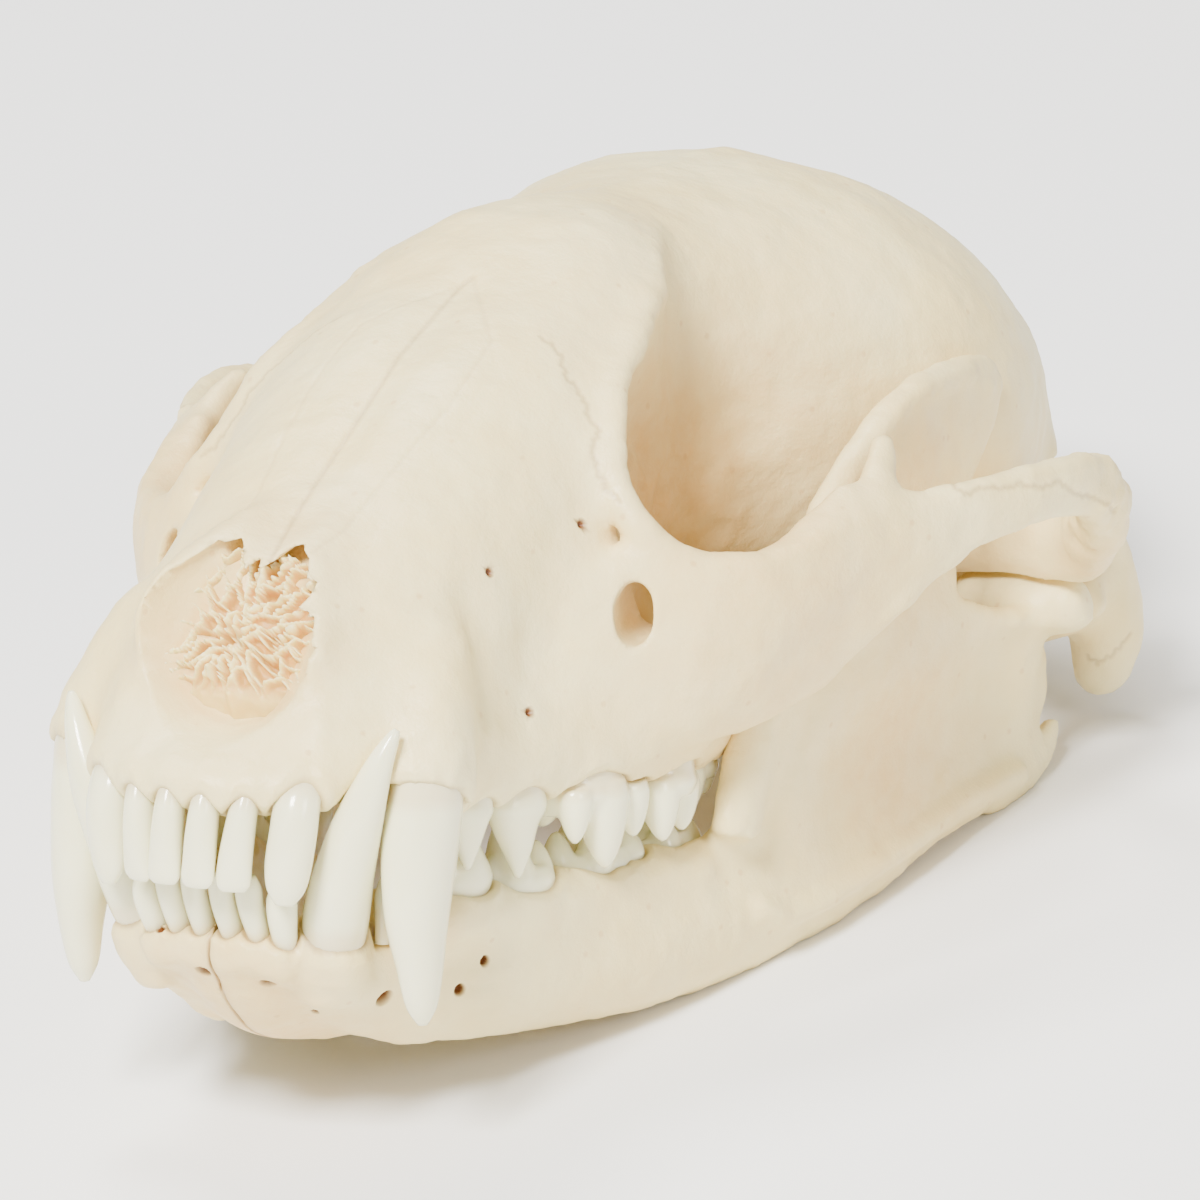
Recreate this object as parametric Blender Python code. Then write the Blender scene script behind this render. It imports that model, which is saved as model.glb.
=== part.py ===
"""A cleaned raccoon skull with its lower jaw and all forty teeth, lying as it rests on a table.

Every shape is worked out in the skull's own measuring frame, in millimetres: the origin is the middle of
the upper jaw's front edge, between the first incisors, +X is the animal's left, +Y runs to the back of the
head and +Z stands square to the palate. An empty then tips that frame back until the jaw touches the table.
"""

import math

import bmesh
import bpy
from mathutils import Matrix, Vector

# Driving dimensions, in millimetres and degrees
MM = 0.001
REST_TILT = 14.0
TABLE_LIFT = 31.1
MIDDLE_Y = 55.9
GAP = 0.3
BRAINCASE_HALF_WIDTH = 24.6
VAULT_TOP = 38.0
ARCH_HALF_WIDTH = 37.0
CANINE_LENGTH = 18.5

# Working fineness of the bone before it is thinned out to flat facets
SKULL_VOXEL = 1.05
JAW_VOXEL = 0.85
SKULL_FACETS = 2400
JAW_FACETS = 480

BONE = (0.83, 0.76, 0.65)
TOOTH = (0.88, 0.87, 0.80)


def clear_scene():
    for thing in list(bpy.data.objects):
        bpy.data.objects.remove(thing, do_unlink=True)


def make_material(name, colour, roughness):
    material = bpy.data.materials.new(name)
    material.use_nodes = True
    shader = material.node_tree.nodes["Principled BSDF"]
    shader.inputs["Base Color"].default_value = (*colour, 1.0)
    shader.inputs["Roughness"].default_value = roughness
    shader.inputs["Metallic"].default_value = 0.0
    return material


def power(value, exponent):
    """The signed power that turns a circle's cosine or sine into a superellipse's."""
    return math.copysign(abs(value) ** (2.0 / exponent), value)


def section(bottom, top, half_width, level, low=2.2, high=2.2, sides=28):
    """A closed cross-section of the head between two midline points, widest at a level between them."""
    points = []
    for k in range(sides):
        turn = 2.0 * math.pi * k / sides
        shape = high if math.sin(turn) > 0 else low
        across = half_width * power(math.cos(turn), shape)
        rise = power(math.sin(turn), shape)
        along = level + (1.0 - level) * rise if rise > 0 else level + level * rise
        y = bottom[0] + (top[0] - bottom[0]) * along
        z = bottom[1] + (top[1] - bottom[1]) * along
        points.append(Vector((across, y, z)))
    return points


def tube_sections(stations, sides=14, upright=Vector((0, 0, 1))):
    """Cross-sections square to a path of (centre, half height, half thickness) stations.

    A fourth value leans a section's top outwards.
    """
    rings = []
    for k, (centre, high, thick, *lean) in enumerate(stations):
        before = Vector(stations[max(k - 1, 0)][0])
        after = Vector(stations[min(k + 1, len(stations) - 1)][0])
        along = (after - before).normalized()
        side = along.cross(upright + Vector((lean[0] if lean else 0.0, 0.0, 0.0))).normalized()
        up = side.cross(along).normalized()
        ring = []
        for j in range(sides):
            turn = 2.0 * math.pi * j / sides
            ring.append(Vector(centre) + side * thick * math.cos(turn) + up * high * math.sin(turn))
        rings.append(ring)
    return rings


def skin(body, rings, mirrored=False):
    """Adds a closed skin over a row of cross-sections to a mesh, and its mirror image if asked."""
    for sign in (1, -1) if mirrored else (1,):
        made = [[body.verts.new((sign * p.x, p.y, p.z)) for p in ring] for ring in rings]
        faces = []
        for near, far in zip(made, made[1:]):
            for k in range(len(near)):
                after = (k + 1) % len(near)
                faces.append(body.faces.new((near[k], near[after], far[after], far[k])))
        faces.append(body.faces.new(list(reversed(made[0]))))
        faces.append(body.faces.new(made[-1]))
        bmesh.ops.recalc_face_normals(body, faces=faces)


def ball(body, centre, radii, mirrored=False, turn=None):
    """Adds an egg-shaped swelling to a mesh."""
    for sign in (1, -1) if mirrored else (1,):
        made = bmesh.ops.create_uvsphere(body, u_segments=20, v_segments=12, radius=1.0)["verts"]
        for vert in made:
            point = Vector((vert.co.x * radii[0], vert.co.y * radii[1], vert.co.z * radii[2]))
            if turn:
                point.rotate(turn)
            vert.co = Vector((sign * (centre[0] + point.x), centre[1] + point.y, centre[2] + point.z))
        faces = list({face for vert in made for face in vert.link_faces})
        bmesh.ops.recalc_face_normals(body, faces=faces)


def finish_mesh(name, body, material=None):
    """Turns a mesh in millimetres into a named object in metres that rides on the tipped frame."""
    bmesh.ops.scale(body, vec=(MM, MM, MM), verts=body.verts)
    mesh = bpy.data.meshes.new(name)
    body.to_mesh(mesh)
    body.free()
    thing = bpy.data.objects.new(name, mesh)
    bpy.context.scene.collection.objects.link(thing)
    thing.parent = frame
    if material:
        mesh.materials.append(material)
    return thing


def hide_cutter(thing):
    thing.hide_render = True
    thing.display_type = "WIRE"
    return thing


def fuse(thing, voxel, rounds):
    """Grows overlapping swellings together into one bone and rounds off the joins."""
    remesh = thing.modifiers.new("fuse", "REMESH")
    remesh.mode = "VOXEL"
    remesh.voxel_size = voxel * MM
    smooth = thing.modifiers.new("round", "SMOOTH")
    smooth.factor = 0.5
    smooth.iterations = rounds


def thin_out(thing, facets):
    """Leaves the bone with about the given number of flat facets."""
    bpy.context.view_layer.update()
    seen = thing.evaluated_get(bpy.context.evaluated_depsgraph_get())
    now = sum(len(face.vertices) - 2 for face in seen.data.polygons)
    fewer = thing.modifiers.new("facets", "DECIMATE")
    fewer.ratio = min(1.0, facets / now)


def cut(thing, cutter, operation="DIFFERENCE", crossing=False):
    """Takes a cutter out of a bone, or adds it; a cutter whose own hollows cross each other is said to."""
    boolean = thing.modifiers.new("cut", "BOOLEAN")
    boolean.operation = operation
    boolean.solver = "EXACT"
    boolean.use_self = crossing
    boolean.object = cutter


def tooth_skin(name, stations, row, sides, cusps=()):
    """A tooth grown from its root to its crown, with points raised round a molar's chewing edge."""
    body = bmesh.new()
    rings = tube_sections(stations, sides, Vector((*row, 0.0)).normalized())
    if cusps:
        along = (Vector(stations[-1][0]) - Vector(stations[-2][0])).normalized()
        for k, point in enumerate(rings[-1]):
            turn = 360.0 * k / sides
            lift = max(high * max(0.0, math.cos(math.radians(turn - at))) ** 5 for at, high in cusps)
            rings[-1][k] = point + along * lift
        middle = Vector(stations[-1][0])
        rings.append([middle + (point - middle) * 0.45 - along * 0.25 for point in rings[-1]])
    skin(body, rings)
    return finish_mesh(name, body, tooth_material)


def hollow_socket(body, stations, row, sides):
    """Adds the hollow for one tooth to a cutter: its root and widest crown, with the gap all round."""
    wide = [(centre, high + GAP, thick + GAP) for centre, high, thick in stations]
    first = Vector(stations[0][0])
    second = Vector(stations[1][0])
    deep = first + (first - second).normalized() * GAP
    biggest_high = 0.0
    biggest_thick = 0.0
    rows = [(tuple(deep), wide[0][1], wide[0][2])]
    for k, (centre, high, thick) in enumerate(wide[1:]):
        biggest_high = max(biggest_high, high)
        biggest_thick = max(biggest_thick, thick)
        if k < 2 or k == len(wide) - 2:
            rows.append((centre, biggest_high, biggest_thick))
    skin(body, tube_sections(rows, sides, Vector((*row, 0.0)).normalized()))


# The snout, forehead and braincase: midline point below, midline point above, half width, level of the
# greatest width, and how square the lower and upper halves of the section are
HEAD = (
    ((-0.6, -0.2), (10.9, 14.6), 7.2, 0.40, 3.0, 2.2),
    ((0.6, -1.0), (12.0, 16.0), 9.3, 0.30, 3.0, 2.1),
    ((3.0, -1.4), (14.5, 17.7), 11.2, 0.27, 2.8, 2.1),
    ((7.5, -1.6), (19.6, 21.0), 12.8, 0.27, 2.8, 2.5),
    ((13.0, -1.6), (25.0, 24.4), 13.7, 0.25, 3.0, 2.7),
    ((20.0, -1.6), (31.0, 28.1), 15.0, 0.25, 3.0, 2.7),
    ((27.0, -1.6), (36.5, 30.6), 16.4, 0.28, 3.0, 2.9),
    ((34.0, -1.6), (41.5, 32.6), 16.4, 0.34, 3.0, 2.9),
    ((41.0, -1.0), (46.0, 34.8), 13.6, 0.58, 3.0, 3.0),
    ((48.0, 0.5), (50.5, 36.6), 11.6, 0.72, 3.0, 3.0),
    ((55.0, 1.0), (55.0, 37.3), 10.4, 0.74, 3.0, 2.7),
    ((60.0, 1.8), (60.0, 37.2), 11.6, 0.62, 2.6, 2.2),
    ((64.0, 2.5), (64.0, 36.9), 14.4, 0.58, 2.4, 2.05),
    ((68.0, 3.5), (68.0, 37.0), 17.8, 0.52, 2.2, 2.0),
    ((72.0, 5.0), (72.0, 37.3), 20.6, 0.46, 2.2, 2.0),
    ((76.0, 6.0), (76.0, 37.7), 22.7, 0.42, 2.2, 2.05),
    ((80.0, 6.0), (80.0, VAULT_TOP), 24.1, 0.40, 2.2, 2.1),
    ((85.0, 5.0), (85.0, 37.4), BRAINCASE_HALF_WIDTH, 0.40, 2.3, 2.1),
    ((90.0, 4.0), (90.0, 36.1), 24.2, 0.41, 2.3, 2.1),
    ((95.0, 3.8), (95.0, 34.2), 22.6, 0.43, 2.3, 2.1),
    ((100.0, 4.2), (100.0, 31.7), 20.3, 0.45, 2.3, 2.1),
    ((105.0, 6.0), (105.0, 28.6), 17.4, 0.50, 2.2, 2.1),
    ((109.0, 8.5), (109.0, 25.6), 14.0, 0.52, 2.2, 2.1),
    ((112.0, 13.0), (112.0, 22.0), 7.0, 0.50, 2.2, 2.1),
)

# The ridge of bone that holds the upper cheek teeth: centre, half height, half thickness
TOOTH_RIDGE = (
    ((12.6, 10.0, 2.4), 4.0, 2.6),
    ((13.0, 14.0, 1.6), 4.3, 2.4),
    ((13.0, 20.0, 1.3), 4.2, 2.7),
    ((13.9, 26.0, 1.1), 4.3, 3.2),
    ((15.0, 31.0, 0.9), 4.3, 4.0),
    ((15.9, 37.0, 0.8), 4.3, 5.0),
    ((16.4, 43.0, 0.8), 4.3, 5.0),
    ((15.8, 48.0, 1.0), 4.0, 4.4),
    ((15.0, 51.5, 1.8), 2.8, 2.8),
)

# The cheek bone and its arch, from the side of the snout round to the root above the jaw joint
ARCH = (
    ((12.5, 29.5, 7.0), 8.4, 4.4, 0.0),
    ((17.2, 33.6, 7.3), 8.2, 3.6, 0.1),
    ((21.6, 36.8, 7.5), 7.8, 3.0, 0.2),
    ((24.9, 41.2, 7.8), 7.5, 2.5, 0.3),
    ((27.0, 46.0, 8.8), 7.4, 2.3, 0.3),
    ((29.0, 50.6, 11.6), 6.2, 2.2, 0.2),
    ((31.3, 55.6, 14.0), 4.3, 2.2, 0.1),
    ((33.6, 60.2, 15.2), 3.6, 2.1, 0.0),
    ((35.4, 65.4, 16.0), 3.2, 2.0, 0.0),
    ((ARCH_HALF_WIDTH - 0.8, 70.8, 16.2), 3.3, 2.0, 0.0),
    ((35.9, 76.2, 15.2), 3.4, 2.1, 0.0),
    ((34.2, 81.2, 12.6), 3.5, 2.4, 0.0),
    ((30.8, 85.0, 9.8), 3.6, 2.9, 0.0),
    ((25.0, 86.6, 9.4), 4.0, 3.6, 0.0),
    ((19.0, 86.0, 10.0), 4.4, 4.6, 0.0),
)

# The scroll bones deep in the nose: place across, back and up, and how far each plate rolls
SCROLL_PLATES = (
    (4.3, 13.6, 9.6, -16.0),
    (4.2, 14.8, 11.6, 4.0),
    (4.1, 16.2, 13.6, 22.0),
)


def build_cranium():
    body = bmesh.new()
    skin(body, [section(*station) for station in HEAD])
    skin(body, tube_sections(TOOTH_RIDGE), mirrored=True)
    # The rim that holds the upper incisors, and the swelling over each canine's root
    rim = [((x, 1.7 + 0.045 * x * x, 0.7 + 0.004 * x * x), 2.2, 2.5) for x in (-9.6, -6.4, -3.2, 0, 3.2, 6.4, 9.6)]
    skin(body, tube_sections(rim))
    swelling = (((14.1, 10.3, -0.4), 4.1, 3.5), ((13.0, 12.8, 5.0), 4.0, 3.5), ((11.2, 16.4, 11.0), 3.2, 2.8))
    skin(body, tube_sections(swelling, upright=Vector((0, 1, 0))), mirrored=True)
    # The bar over the jaw joint and the flange behind it
    flange = (((18.0, 92.4, 3.4), 3.4, 1.5), ((24.0, 92.6, 3.2), 3.4, 1.5), ((29.0, 91.6, 5.4), 2.6, 1.5))
    skin(body, tube_sections(flange), mirrored=True)
    # Hearing: the swollen drum bulla and the bony tube that leads out from it
    ball(body, (12.2, 91.0, 1.8), (6.2, 8.8, 5.6), mirrored=True)
    ear = (((13.0, 92.0, 3.0), 3.6, 3.6), ((21.0, 94.0, 4.0), 3.2, 3.2), ((26.6, 95.0, 4.2), 2.8, 2.8))
    skin(body, tube_sections(ear), mirrored=True)
    # The mastoid process, a blunt post that hangs beside the ear
    mastoid = (
        ((24.5, 94.5, 11.0), 3.4, 3.6),
        ((26.6, 96.6, 5.0), 3.4, 3.2),
        ((26.6, 98.4, 0.0), 3.3, 3.0),
        ((25.6, 99.6, -3.4), 2.5, 2.4),
        ((25.2, 100.0, -5.0), 1.1, 1.1),
    )
    skin(body, tube_sections(mastoid, upright=Vector((0, 1, 0))), mirrored=True)
    spike = (((17.0, 101.0, 8.0), 3.2, 3.4), ((17.6, 103.0, 1.5), 1.8, 2.4), ((17.8, 103.6, -2.6), 0.8, 1.1))
    skin(body, tube_sections(spike, upright=Vector((0, 1, 0))), mirrored=True)
    # The wings of bone behind the palate
    wing = (((8.2, 54.0, 3.4), 3.4, 1.6), ((7.6, 64.0, 3.8), 3.4, 1.3), ((7.2, 72.0, 4.2), 3.6, 1.1),
            ((6.9, 78.0, 3.4), 2.6, 0.9))
    skin(body, tube_sections(wing), mirrored=True)
    # The underside in front of the neck, the two knuckles that met the neck, and the knob above them
    base = (((0.0, 72.0, 8.0), 2.4, 6.0), ((0.0, 84.0, 6.2), 2.6, 6.0), ((0.0, 96.0, 5.6), 2.4, 7.6),
            ((0.0, 105.0, 7.6), 2.6, 8.4))
    skin(body, tube_sections(base))
    ball(body, (7.4, 107.4, 11.4), (3.6, 4.2, 5.4), mirrored=True)
    crest = (((-20.5, 99.0, 13.0), 1.6, 1.6), ((-16.0, 104.0, 21.0), 1.5, 1.6), ((-8.5, 107.6, 25.6), 1.5, 1.7),
             ((0.0, 109.2, 26.4), 1.6, 2.0), ((8.5, 107.6, 25.6), 1.5, 1.7), ((16.0, 104.0, 21.0), 1.5, 1.6),
             ((20.5, 99.0, 13.0), 1.6, 1.6))
    skin(body, tube_sections(crest))
    cranium = finish_mesh("cranium", body, bone_material)
    fuse(cranium, SKULL_VOXEL, 0)

    body = bmesh.new()
    skin(body, tube_sections(ARCH), mirrored=True)
    # The spur that the cheek bone sends up behind the eye
    spur = (((29.8, 50.8, 13.0), 3.4, 2.1), ((28.8, 54.0, 17.8), 2.4, 1.7), ((27.4, 57.0, 21.8), 1.0, 0.9))
    skin(body, tube_sections(spur, upright=Vector((0, 1, 0))), mirrored=True)
    arches = hide_cutter(finish_mesh("cheek_arches", body))
    fuse(arches, JAW_VOXEL, 0)

    hollows = bmesh.new()
    # The eye socket on each side, open behind into the space for the chewing muscles
    ball(hollows, (23.0, 49.5, 20.5), (13.2, 17.0, 12.6), mirrored=True)
    orbit = hide_cutter(finish_mesh("eye_socket_hollow", hollows))
    cut(cranium, orbit)

    hollows = bmesh.new()
    nostril = (
        ((-3.5, 5.0), (5.0, 20.0), 7.0, 0.50, 2.4, 2.6),
        ((3.8, 3.9), (11.4, 16.5), 6.9, 0.50, 2.2, 2.6),
        ((7.0, 4.6), (14.4, 16.4), 6.4, 0.50, 2.2, 2.6),
        ((11.5, 6.5), (18.0, 17.2), 5.4, 0.50, 2.2, 2.4),
    )
    skin(hollows, [section(*station, sides=16) for station in nostril])
    nose = hide_cutter(finish_mesh("nose_hollow", hollows))

    plates = bmesh.new()
    for side in (1, -1):
        for across, back, level, roll in SCROLL_PLATES:
            made = bmesh.ops.create_cube(plates, size=1.0)["verts"]
            for vert in made:
                point = Vector((vert.co.x * 5.6, vert.co.y * 5.4, vert.co.z * 0.7))
                point.rotate(Matrix.Rotation(math.radians(-roll), 3, "Y"))
                vert.co = Vector((side * (across + point.x), back + point.y, level + point.z))
            if side < 0:
                bmesh.ops.reverse_faces(plates, faces=list({face for vert in made for face in vert.link_faces}))
    scrolls = hide_cutter(finish_mesh("scroll_bones", plates))

    hollows = bmesh.new()
    canal = (((19.8, 27.4, 11.4), 2.8, 1.8), ((16.8, 34.6, 9.8), 2.0, 1.4))
    skin(hollows, tube_sections(canal, 10), mirrored=True)
    cheek = hide_cutter(finish_mesh("cheek_canal_hollow", hollows))

    hollows = bmesh.new()
    trough = (((17.4, 85.8, 1.6), 6.2, 3.7), ((24.5, 86.3, 1.8), 6.2, 3.8), ((33.0, 86.9, 2.2), 6.4, 3.7))
    skin(hollows, tube_sections(trough), mirrored=True)
    joint = hide_cutter(finish_mesh("jaw_joint_hollow", hollows))

    hollows = bmesh.new()
    ball(hollows, (0.0, 112.5, 17.2), (6.2, 12.0, 5.6))
    neck = hide_cutter(finish_mesh("spinal_hollow", hollows))

    hollows = bmesh.new()
    ball(hollows, (0.0, 77.0, 3.0), (5.4, 13.0, 4.6))
    ball(hollows, (0.0, 30.0, -5.2), (10.2, 36.0, 6.4))
    throat = hide_cutter(finish_mesh("palate_hollow", hollows))
    cut(cranium, throat)
    cut(cranium, arches, "UNION")
    cut(cranium, joint)
    fuse(cranium, SKULL_VOXEL, 3)
    thin_out(cranium, SKULL_FACETS)
    for cutter in (nose, cheek, neck):
        cut(cranium, cutter)
    cut(cranium, scrolls, "UNION")
    return cranium


# The body of the left jaw half: centre across and along, height of its top and foot, half thickness
JAW_BODY = (
    (4.6, 8.5, -10.0, -13.6, 2.6),
    (5.2, 12.0, -9.0, -17.2, 3.5),
    (6.0, 15.5, -8.6, -19.0, 3.8),
    (7.8, 20.0, -8.9, -20.5, 3.9),
    (10.7, 26.0, -9.8, -21.1, 3.8),
    (13.2, 33.0, -10.4, -21.1, 3.8),
    (15.4, 40.0, -10.5, -21.0, 3.9),
    (17.2, 46.0, -9.8, -20.6, 3.7),
    (19.2, 52.0, -9.0, -19.4, 3.1),
    (21.2, 58.0, -8.6, -17.8, 2.5),
    (22.9, 66.0, -8.2, -15.4, 2.0),
    (24.0, 74.0, -8.0, -12.8, 1.7),
    (24.8, 82.0, -7.6, -11.0, 1.6),
    (25.0, 87.0, -7.4, -9.6, 1.4),
)

# The jaw's upright plate: place along the head, its foot and its top below the two processes
JAW_PLATE = (
    (46.0, -19.4, -9.0), (48.0, -19.2, -5.0), (50.0, -18.8, -0.5), (52.0, -18.2, 5.0), (56.0, -17.4, 8.0),
    (62.0, -16.2, 8.0), (68.0, -14.4, 8.0), (74.0, -12.6, 7.4), (78.0, -11.4, 5.6), (84.0, -9.8, 4.6),
    (88.0, -8.4, 3.4), (90.2, -4.0, 0.6),
)

# The blade for the chewing muscle above it: height, front edge and rear edge
JAW_BLADE = (
    (3.0, 51.0, 76.0), (7.0, 51.8, 75.2), (10.5, 52.6, 75.0), (14.0, 53.8, 76.6), (17.0, 55.6, 78.6),
    (20.0, 58.5, 81.0), (22.4, 62.0, 81.4), (24.2, 67.0, 79.0), (24.9, 71.0, 76.5),
)


def plate_middle(y, z):
    """How far out the jaw's upright plate stands at a place along the head and a height."""
    upper = 24.8 - 0.013 * max(0.0, 66.0 - y) ** 2
    lower = 25.0 - 0.006 * max(0.0, 87.0 - y) ** 1.9
    share = min(1.0, max(0.0, (z + 16.0) / 18.0))
    return lower + (upper - lower) * share


def plate_sections(sides=14):
    rings = []
    for y, foot, top in JAW_PLATE:
        ring = []
        for k in range(sides):
            turn = 2.0 * math.pi * k / sides
            z = (foot + top) / 2 + (top - foot) / 2 * power(math.sin(turn), 3.0)
            ring.append(Vector((plate_middle(y, z) + 1.2 * power(math.cos(turn), 3.0), y, z)))
        rings.append(ring)
    return rings


def blade_sections(sides=14):
    rings = []
    for z, front, rear in JAW_BLADE:
        ring = []
        for k in range(sides):
            turn = 2.0 * math.pi * k / sides
            y = (front + rear) / 2 + (rear - front) / 2 * power(math.cos(turn), 3.0)
            ring.append(Vector((plate_middle(y, z) + 1.2 * power(math.sin(turn), 3.0), y, z)))
        rings.append(ring)
    return rings


def build_jaw(side, sign):
    body = bmesh.new()
    path = [((x, y, (top + foot) / 2), (top - foot) / 2, thick) for x, y, top, foot, thick in JAW_BODY]
    skin(body, tube_sections(path))
    # The two halves grew against each other at the chin
    chin = (((0.0, 5.0, -11.2), 1.4, 5.4), ((0.0, 8.6, -13.2), 3.2, 4.8), ((0.0, 13.0, -15.9), 3.7, 4.4),
            ((0.0, 18.0, -18.0), 3.0, 5.4), ((0.0, 22.0, -19.2), 1.7, 6.0))
    skin(body, tube_sections(chin))
    # The swelling over the root of the lower canine
    root = (((8.2, 6.8, -10.6), 3.0, 3.0), ((7.0, 9.0, -12.4), 3.0, 3.0), ((6.0, 12.0, -14.2), 3.3, 3.2),
            ((7.0, 18.0, -15.6), 3.4, 3.2))
    skin(body, tube_sections(root))
    rim = [((x, 5.1 + 0.03 * x * x, -12.3 - 0.01 * x * x), 2.2, 2.0) for x in (-2.5, 0.0, 2.5, 5.0, 7.5)]
    skin(body, tube_sections(rim))
    skin(body, plate_sections())
    skin(body, blade_sections())
    border = (((21.2, 47.8, -7.2), 1.6, 1.5), ((21.6, 50.4, 0.0), 1.7, 1.6), ((22.8, 53.2, 8.0), 1.7, 1.5),
              ((23.4, 55.6, 15.0), 1.7, 1.4), ((24.2, 60.0, 19.8), 1.6, 1.3), ((24.8, 66.0, 22.8), 1.4, 1.2),
              ((25.0, 73.0, 23.3), 1.3, 1.2))
    skin(body, tube_sections(border))
    knuckle = (((19.6, 86.0, 4.2), 1.5, 1.5), ((21.2, 86.2, 4.2), 2.4, 2.4), ((28.3, 86.6, 4.4), 2.5, 2.5),
               ((30.4, 86.8, 4.8), 1.6, 1.6))
    skin(body, tube_sections(knuckle))
    neck = (((24.8, 85.4, -5.0), 3.4, 1.4), ((24.8, 85.8, 0.5), 3.2, 1.9), ((24.8, 86.4, 4.0), 2.4, 3.4))
    skin(body, tube_sections(neck, upright=Vector((0, 1, 0))))
    hook = (((24.8, 81.0, -10.2), 1.8, 1.5), ((25.0, 86.0, -9.3), 1.9, 1.5), ((25.2, 89.6, -7.9), 1.5, 1.3),
            ((25.4, 91.8, -5.8), 0.7, 0.7))
    skin(body, tube_sections(hook))
    if sign < 0:
        for vert in body.verts:
            vert.co.x = -vert.co.x
        bmesh.ops.reverse_faces(body, faces=body.faces)
    jaw = finish_mesh(side + "_jaw", body, bone_material)
    fuse(jaw, JAW_VOXEL, 3)

    hollow = bmesh.new()
    made = bmesh.ops.create_cube(hollow, size=1.0)["verts"]
    for vert in made:
        vert.co = Vector((vert.co.x * 60.0 + sign * (GAP / 2 - 30.0), vert.co.y * 80.0 + 20.0, vert.co.z * 60.0))
    middle = hide_cutter(finish_mesh(side + "_half_cutter", hollow))
    thin_out(jaw, JAW_FACETS)
    cut(jaw, middle)
    cut(jaw, table)
    return jaw


# Every tooth of one side: row direction, sides, stations of (centre, half width along the row, half width
# across it), and the cusps of its chewing edge as (turn, height)
def upper_teeth():
    return {
        "upper_first_incisor": ((1.0, 0.0), 6, (
            ((1.6, 2.8, 1.9), 0.9, 1.0), ((1.6, 1.4, 0.0), 1.15, 1.3), ((1.6, 0.5, -3.2), 1.36, 1.15),
            ((1.6, 0.0, -6.2), 1.3, 0.45)), ()),
        "upper_second_incisor": ((0.96, 0.28), 6, (
            ((4.6, 3.4, 1.9), 0.9, 1.0), ((4.6, 2.1, 0.0), 1.15, 1.3), ((4.5, 1.1, -3.2), 1.36, 1.15),
            ((4.4, 0.6, -6.4), 1.3, 0.5)), ()),
        "upper_third_incisor": ((0.8, 0.6), 6, (
            ((7.9, 5.2, 2.2), 1.2, 1.2), ((7.8, 3.8, 0.3), 1.55, 1.5), ((7.6, 2.6, -3.2), 1.75, 1.35),
            ((7.6, 2.1, -6.0), 1.3, 0.9), ((7.6, 1.9, -7.5), 0.6, 0.45)), ()),
        "upper_canine": ((0.1, 1.0), 10, (
            ((12.4, 13.6, 6.6), 2.3, 1.9), ((14.1, 10.6, 1.2), 2.6, 2.0), ((13.8, 9.9, -4.0), 3.2, 2.4),
            ((14.0, 9.4, -8.5), 2.8, 2.0), ((14.2, 9.8, -12.4), 2.0, 1.45), ((14.2, 10.3, -15.8), 1.3, 0.95),
            ((14.2, 10.5, 1.6 - CANINE_LENGTH), 0.45, 0.4)), ()),
        "upper_first_premolar": ((0.0, 1.0), 6, (
            ((13.3, 14.9, 1.4), 0.6, 0.6), ((13.3, 14.9, -1.8), 0.85, 0.8), ((13.3, 14.9, -3.2), 0.8, 0.7),
            ((13.3, 15.0, -4.4), 0.3, 0.25)), ()),
        "upper_second_premolar": ((0.12, 1.0), 8, (
            ((13.1, 18.5, 2.0), 1.9, 1.0), ((13.2, 18.6, -1.9), 2.45, 1.5), ((13.2, 18.5, -3.4), 2.3, 1.4),
            ((13.2, 18.6, -5.4), 1.1, 0.8), ((13.2, 18.7, -6.9), 0.3, 0.25)), ()),
        "upper_third_premolar": ((0.25, 1.0), 8, (
            ((13.9, 24.3, 2.0), 2.0, 1.2), ((14.1, 24.3, -2.2), 2.7, 1.8), ((14.1, 24.3, -4.0), 2.5, 1.7),
            ((14.2, 24.5, -6.4), 1.2, 1.0), ((14.2, 24.7, -8.4), 0.3, 0.25)), ()),
        "upper_fourth_premolar": ((0.33, 0.94), 12, (
            ((15.0, 31.7, 1.4), 3.4, 3.2), ((15.0, 31.7, -2.4), 4.2, 3.9), ((15.4, 31.9, -4.9), 3.8, 3.2)),
            ((-65.0, 1.4), (-5.0, 3.8), (55.0, 2.0), (180.0, 0.8))),
        "upper_first_molar": ((0.1, 1.0), 12, (
            ((16.2, 40.1, 1.4), 2.9, 3.8), ((16.2, 40.1, -2.6), 3.5, 4.6), ((16.4, 40.1, -5.0), 3.4, 4.0)),
            ((-42.0, 2.4), (42.0, 2.2), (140.0, 0.8), (-140.0, 0.8))),
        "upper_second_molar": ((-0.2, 0.98), 12, (
            ((15.7, 46.7, 1.4), 2.1, 3.0), ((15.6, 46.7, -2.6), 2.6, 3.5), ((15.6, 46.7, -4.7), 2.5, 3.2)),
            ((-45.0, 1.6), (45.0, 1.2), (180.0, 0.6))),
    }


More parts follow.
